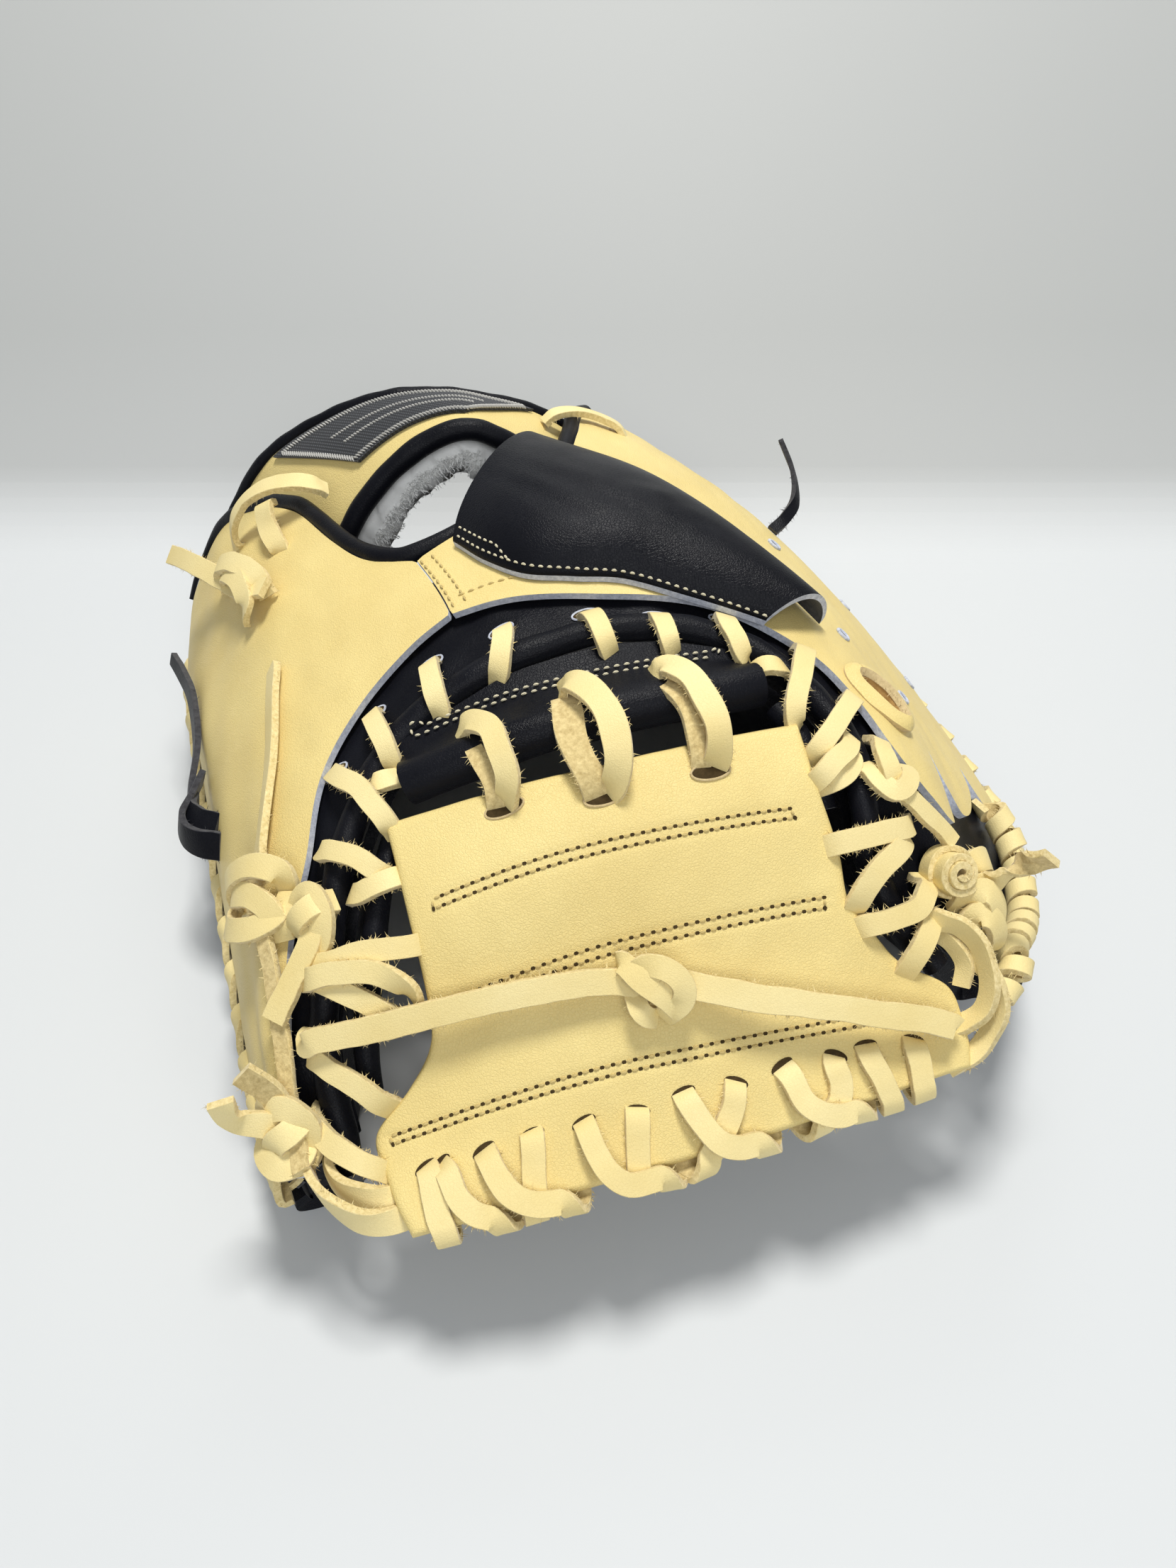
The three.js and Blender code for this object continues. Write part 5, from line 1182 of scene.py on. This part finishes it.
def strips(tables, seed, width, thick=LACE_THICK):
    """Laces from tables, each with its own width where it is given."""
    out = []
    for i, rows in enumerate(tables):
        wide, rows = rows if isinstance(rows, tuple) else (width, rows)
        p, n = lace_path(rows, 8 * len(rows))
        out.append(ribbon(p, n, wide, thick, step=0.9, seed=seed + i))
    return out


def foot_strips():
    """Lacing of the web's foot: each strip goes over the edge and back in on the underside."""
    out = []
    places = np.linspace(0, len(WEB_FOOT) - 1, 200)
    edge = through(WEB_FOOT, places)
    edge_points = surface(edge[:, 0], edge[:, 1])
    for i, rows in enumerate(FOOT):
        p, n = lace_path(rows, 10 * len(rows))
        u, v, lift = rows[-1][:3]
        m = normal(u, v)
        mid = surface(u, v) + m * 0.2
        k = int(np.linalg.norm(edge_points - mid, axis=1).argmin())
        way = -beside(WEB_FOOT, places[k], 1.0)[2]
        along = unit(np.cross(m, way))
        gap = max(0.0, float((edge_points[k] - mid) @ way))
        last = unit(p[-1] - p[-4])
        slope = float(np.clip((last @ along) / max(last @ way, 0.4), -1.1, 1.1))
        bend = [(gap + 0.7, lift - 0.5, 1, 1.0), (gap + 3.0, 0.3, 0, 3.2),
                (gap + 0.6, -3.0, -1, 5.5), (gap - 7, -3.3, -1, 7.0)]
        q, f = [], []
        for out_by, up, side, drift in bend:
            q.append(mid + way * out_by + m * up + along * slope * drift * 0.8)
            f.append(unit(way * (1.0 - 0.4 * abs(side)) + m * 0.8 * side))
        f[-1] = -m
        p, n = np.concatenate([p, q]), np.concatenate([n, f])
        out.append(ribbon(p, n, width=5.9, step=0.8, seed=200 + i))
    return out


def coil(points, radius, pitch, width, seed):
    """Lace wound round a rope-like edge."""
    p, _, at = resample(points, np.tile([0.0, 0.0, 1.0], (len(points), 1)), 0.8)
    t = unit(np.gradient(p, axis=0))
    a = unit(np.cross(t, [0.2, 0.1, 1.0]))
    b = np.cross(t, a)
    way = spokes(at / pitch * 2 * np.pi, a, b)
    return ribbon(p + way * radius, way, width=width, step=0.8, seed=seed)


def rim_path(rim, count, start, end):
    """Points and face directions of a lace that winds over the rim from a share of it to another."""
    last = len(rim) - 1
    at = last * np.linspace(start, end, count)
    outer = [beside(rim, a, RIM_HALF) for a in at]
    inner = [beside(rim, min(a + 0.55 * gap, last), -RIM_HALF) for a, gap in zip(at, np.gradient(at))]
    points, faces = [], []
    for i, a in enumerate(inner):
        for k, (way, more, lift, tilt) in enumerate(OVER_WELT):
            j = i if k < 4 else i + 1
            if j == count:
                continue
            o = outer[j]
            f = way + more / np.linalg.norm(surface(a[0], a[1]) - surface(o[0], o[1]))
            u, v = o[0] + (a[0] - o[0]) * f, o[1] + (a[1] - o[1]) * f
            inward = -(o[2] + (a[2] - o[2]) * f)
            r = math.radians(tilt)
            points.append(back(u, v, lift))
            faces.append(normal(u, v) * math.cos(r) + inward * math.sin(r))
    return np.array(points), np.array(faces)


def wound_laces():
    """Laces along the arch, the web and the rim."""
    lace_piece("shown_arch_lace", strips(ARCH, 31, width=5.6), ["arch_lace"])
    lace_piece("shown_thumb_side_lace", strips(THUMB_SIDE, 51, width=5.8), ["thumb_side_lace"])
    lace_piece("shown_finger_side_lace", strips(FINGER_SIDE, 61, width=5.8), ["finger_side_lace"])
    lace_piece("shown_web_foot_lace", foot_strips(), ["web_foot_lace"])
    p, n = rim_path(RIM_THUMB, RIM_TURNS, 0.015, 0.93)
    lace_piece("shown_rim_lace_thumb", [ribbon(p, n, step=1.0, seed=7, width=5.6)], ["rim_lace_thumb"])
    p, n = rim_path(RIM_FINGER[:7], RIM_TURNS, 0.02, 1.0)
    rope = back(*np.array(TIP_ROPE).T)
    lace_piece("shown_rim_lace_finger", [ribbon(p, n, step=1.0, seed=8, width=5.6),
                                         coil(rope, radius=3.4, pitch=8.2, width=5.4, seed=9)],
               ["rim_lace_finger"])
    lace_piece("shown_web_top_lace", strips(TOP_LACE, 71, LACE_WIDTH), ["web_top_lace"])


def rolled_end():
    """Lace end rolled up tight and set upright, seen on its suede top."""
    u, v = 5.03, -104
    c, n = back(u, v, 2.2), normal(u, v)
    n = unit(n + np.array([-0.12, -0.35, 0.1]))
    a = unit(np.cross(n, [0.0, 0.3, 1.0]))
    b = np.cross(n, a)
    ang = np.linspace(0, 2 * np.pi * 2.35, 70)
    r = np.interp(ang, [0, ang[-1]], [0.9, 5.6])
    way = spokes(ang, a, b)
    sink = np.interp(ang, [0, ang[-1]], [1.6, 0.0])
    top = ribbon(c + way * r[:, None] + n * sink[:, None], way, width=8.4, thick=2.0, step=0.8, seed=71)
    collar = np.linspace(0, 2 * np.pi, 40)
    way = spokes(collar, a, b)
    ring = ribbon(c + way * 6.3 - n * 2.2, way, width=4.6, thick=1.8, step=0.9, seed=72)
    return [top, ring]


def knots():
    """Knots, loops and loose ends of lace."""
    for seed, (name, tables) in enumerate(TIED.items()):
        width = 7.6 if name == "finger_edge_knot" else 6.6
        lace_piece("tied_" + name, strips(tables, 80 + 7 * seed, width), [name])
    lace_piece("rolled_lace_end", rolled_end(), ["finger_knot"])
    for seed, (name, tables) in enumerate(LOOSE.items()):
        lace_piece("shown_" + name, strips(tables, 140 + 7 * seed, 6.6), [name])
    black_lace("black_side_cord", strips(SIDE_CORD, 161, width=5.4, thick=2.0), ["side_cord"])
    black_lace("black_loose_end", strips(LOOSE_CORD, 171, width=4, thick=1.7), ["loose_cord"])


def hole(c, n, way, long, wide, rim, parts):
    """Mouth of a punched slot with a raw rim; the mouth is a dark disc of painted shade."""
    side = np.cross(n, way)
    ang = np.linspace(0, 2 * np.pi, 21)
    curve = spokes(ang, way * long, side * wide)
    disc = c + curve[:-1] + n * 0.1
    parts.append((disc, [list(range(20))], [0]))
    if rim:
        v, f, _ = tube(c + curve * 1.06 + n * 0.02, radius=0.32, sides=6, step=0.7)
        parts.append((v, f, [1] * len(f)))


def mouth(rows, lift, ahead, long, wide, rim, parts):
    """Slot where a lace comes out, along its first stretch."""
    (u0, v0), (u1, v1) = rows[0][:2], rows[1][:2]
    way = unit(surface(u1, v1) - surface(u0, v0))
    n = normal(u0, v0)
    hole(back(u0, v0, lift) + way * ahead, n, unit(np.cross(n, way)), long, wide, rim, parts)


def lace_holes():
    """Mouths of the slots in the web and the band."""
    pale, dark = [], []
    for rows in FOOT:
        mouth(rows, WEB_TOP + float(web_height(*rows[0][:2])), 1.3, 3.2, 1.5, False, pale)
    for u, v in ((3.82, -62.3), (4.115, -69.6), (4.42, -72)):
        n = normal(u, v)
        c = back(u, v, WEB_TOP + float(web_height(u, v)))
        hole(c, n, unit(np.cross(n, [0.1, 1.0, 0.0])), 4.9, 2.1, True, pale)
    for rows in ARCH[:3] + ARCH[4:5] + ARCH[7:10]:
        mouth(rows, 0.55 - BAND_DEPTH, 0.0, 3.6, 1.6, True, dark)
    make_all("web_lace_holes", pale, [HOLE_SHADE, RAW_TAN])
    make_all("band_lace_holes", dark, [HOLE_SHADE, RAW_BLUE])


# ---- stitching
def stitches():
    """Sewing thread on the web, the sleeve, the back seam and the bar."""
    gold = []
    ends = [pair for one, two in zip(WEB_ROWS[::2], WEB_ROWS[1::2]) for pair in zip(one, two)]
    for rows, pitch, length in ((WEB_ROWS, 2.75, 1.9), (ends, 1.9, 1.4)):
        for a, b in rows:
            u, v = np.linspace(a, b, 60).T
            p = back(u, v, WEB_LIFT + WEB_THICK / 2 + web_height(u, v))
            gold += stitch_row(p, normal(u, v), pitch, length, radius=0.38, sink=0.0, hole=0.5)
    make_all("web_thread", gold, [GOLD, HOLE_SHADE])
    cream = []
    for off, t0, t1 in ((0.022, 0.0, 1.0), (0.055, 0.0, 0.27)):
        t = np.linspace(t0 + 0.015, t1, 80)
        s = np.full(80, off) - 0.033 * clamp((t - 0.2) / 0.07) * (off > 0.05)
        n = normal(*share(SLEEVE, t).T[:2])
        p = across(SLEEVE, s, t) + n * (sleeve_rise(s, t) + SLEEVE_THICK)[:, None]
        cream += stitch_row(p, n, pitch=2.5, length=1.6, radius=0.36)
    make_all("sleeve_thread", cream, [CREAM])
    seam = []
    for rows, lift, radius in (([(3.703, 4.5), (3.635, 32)], 0.35, 0.38),
                               ([(3.753, 4.5), (3.685, 32)], 0.35, 0.38),
                               ([(3.72, 8.5), (3.95, 5.5), (4.06, 2.5)], 0.15, 0.34)):
        seam += stitch_row(*on_back(rows, lift), pitch=3.0, length=2.1, radius=radius)
    make_all("seam_thread", seam, [GOLD])
    bar = []
    for row in BAR_ROWS:
        bar += stitch_row(*on_back(row, 0.75), pitch=2.7, length=1.7, radius=0.36)
    make_all("bar_thread", bar, [CREAM])


def vents():
    """Punched holes with raw rims; each hole is filled by a dark disc of painted shade."""
    parts = []
    for u, y in ((5.65, 22), (6.34, 11), (5.52, -25), (6.60, -18), (5.96, -39)):
        c, n = back(u, y, 0.15), normal(u, y)
        a = unit(np.cross(n, [0, 1, 0]))
        b = np.cross(n, a)
        ang = np.linspace(0, 2 * np.pi, 25)
        v, f, _ = tube(c + spokes(ang, a, b) * 2.1, radius=0.55, sides=10, step=0.6)
        parts.append((v, f, [0] * len(f)))
        # Painted shade: a dark disc stands in for the opening of the hole.
        disc = c + spokes(ang[:-1], a, b) * 2.0 + n * 0.05
        parts.append((disc, [list(range(24))], [1]))
    make_all("vent_holes", parts, [RAW_BLUE, SUEDE_DARK])


# ---- stage
def face(ob, at, way):
    """Put a lamp or the camera at a place, looking along a direction."""
    ob.location = at
    ob.rotation_mode = "QUATERNION"
    ob.rotation_quaternion = way.to_track_quat("-Z", "Y")
    return ob


def stage():
    """Floor that rises behind the mitt, the light round it and three lamps."""
    m, nt, shader, at = material("pale_floor", Roughness=0.6)
    me = bpy.data.meshes.new("floor")
    ahead, side = Vector((0.342, 0.94, 0)), Vector((0.94, -0.342, 0))
    profile = [(-3, 0), (FLOOR_FLAT, 0)]
    profile += [(FLOOR_FLAT + FLOOR_BEND * math.sin(a), FLOOR_BEND * (1 - math.cos(a)))
                for a in np.linspace(0.08, FLOOR_RISE, 8)]
    d, h = profile[-1]
    profile.append((d + 2.2, h + 2.2 * math.tan(FLOOR_RISE)))
    start = Vector((-0.0859, -0.2515, 0))
    points = [start + ahead * d + side * w + Vector((0, 0, h)) for d, h in profile for w in (-3, 3)]
    me.from_pydata([tuple(q) for q in points], [],
                   [(2 * i, 2 * i + 1, 2 * i + 3, 2 * i + 2) for i in range(len(profile) - 1)])
    me.materials.append(m)
    height = node(nt, "SeparateXYZ", at).outputs["Z"]
    up = node(nt, "MapRange", From_Min=0.001, From_Max=0.06, Value=height)
    # Painted shade: the floor is coloured darker where it bends and rises behind the mitt, standing in
    # for the weaker light on the rise.
    put(shader, Base_Color=ramp(nt, up.outputs["Result"], (0.0, (0.595, 0.612, 0.622)),
                                (0.3, (0.44, 0.45, 0.448)), (1.0, (0.4, 0.41, 0.405))))
    add("floor", me)
    world = bpy.data.worlds.new("studio")
    bpy.context.scene.world = world
    world.use_nodes = True
    put(world.node_tree.nodes["Background"], Color=(0.93, 0.97, 1.0, 1), Strength=0.25)
    for name, at, aim, size, power, colour in (
            ("key", (0.14, 0.28, 1.5), (0, 0, 0.05), 0.4, 20.8, (1.0, 0.985, 0.95)),
            ("fill", (-0.2, -0.95, 0.9), (0, 0, 0.05), 0.8, 6.6, (0.96, 0.98, 1.0)),
            ("rear", (0.5, 1.1, 1.0), (0.1, 0.4, 0), 0.6, 2.6, (0.97, 0.98, 1))):
        light = bpy.data.lights.new(name, "AREA")
        light.shape = "DISK"
        light.size = size
        light.energy = power
        light.color = colour
        face(add(name, light), at, Vector(aim) - Vector(at))


def camera():
    """Camera in front of the web, looking down at the mitt."""
    cam = bpy.data.cameras.new("camera")
    cam.sensor_width = SENSOR
    cam.lens = LENS
    at = (np.array(CAMERA_PLACE) - ORIGIN) / 1000
    a, p = math.radians(CAMERA_TURN), math.radians(CAMERA_DOWN)
    look = Vector((-math.sin(a) * math.cos(p), math.cos(a) * math.cos(p), -math.sin(p)))
    cam.clip_start = 0.01
    cam.clip_end = 50
    bpy.context.scene.camera = face(add("camera", cam), at.tolist(), look)


camera()
stage()
bpy.context.scene.view_settings.view_transform = "Standard"
for build in (thumb_panel, finger_panel, band, palm_piece, welts, rolls, web_bar, web_panel, sleeve,
              strap, badge, fleece, binding, finger_loop, wound_laces, knots, stitches, lace_holes,
              vents):
    build()
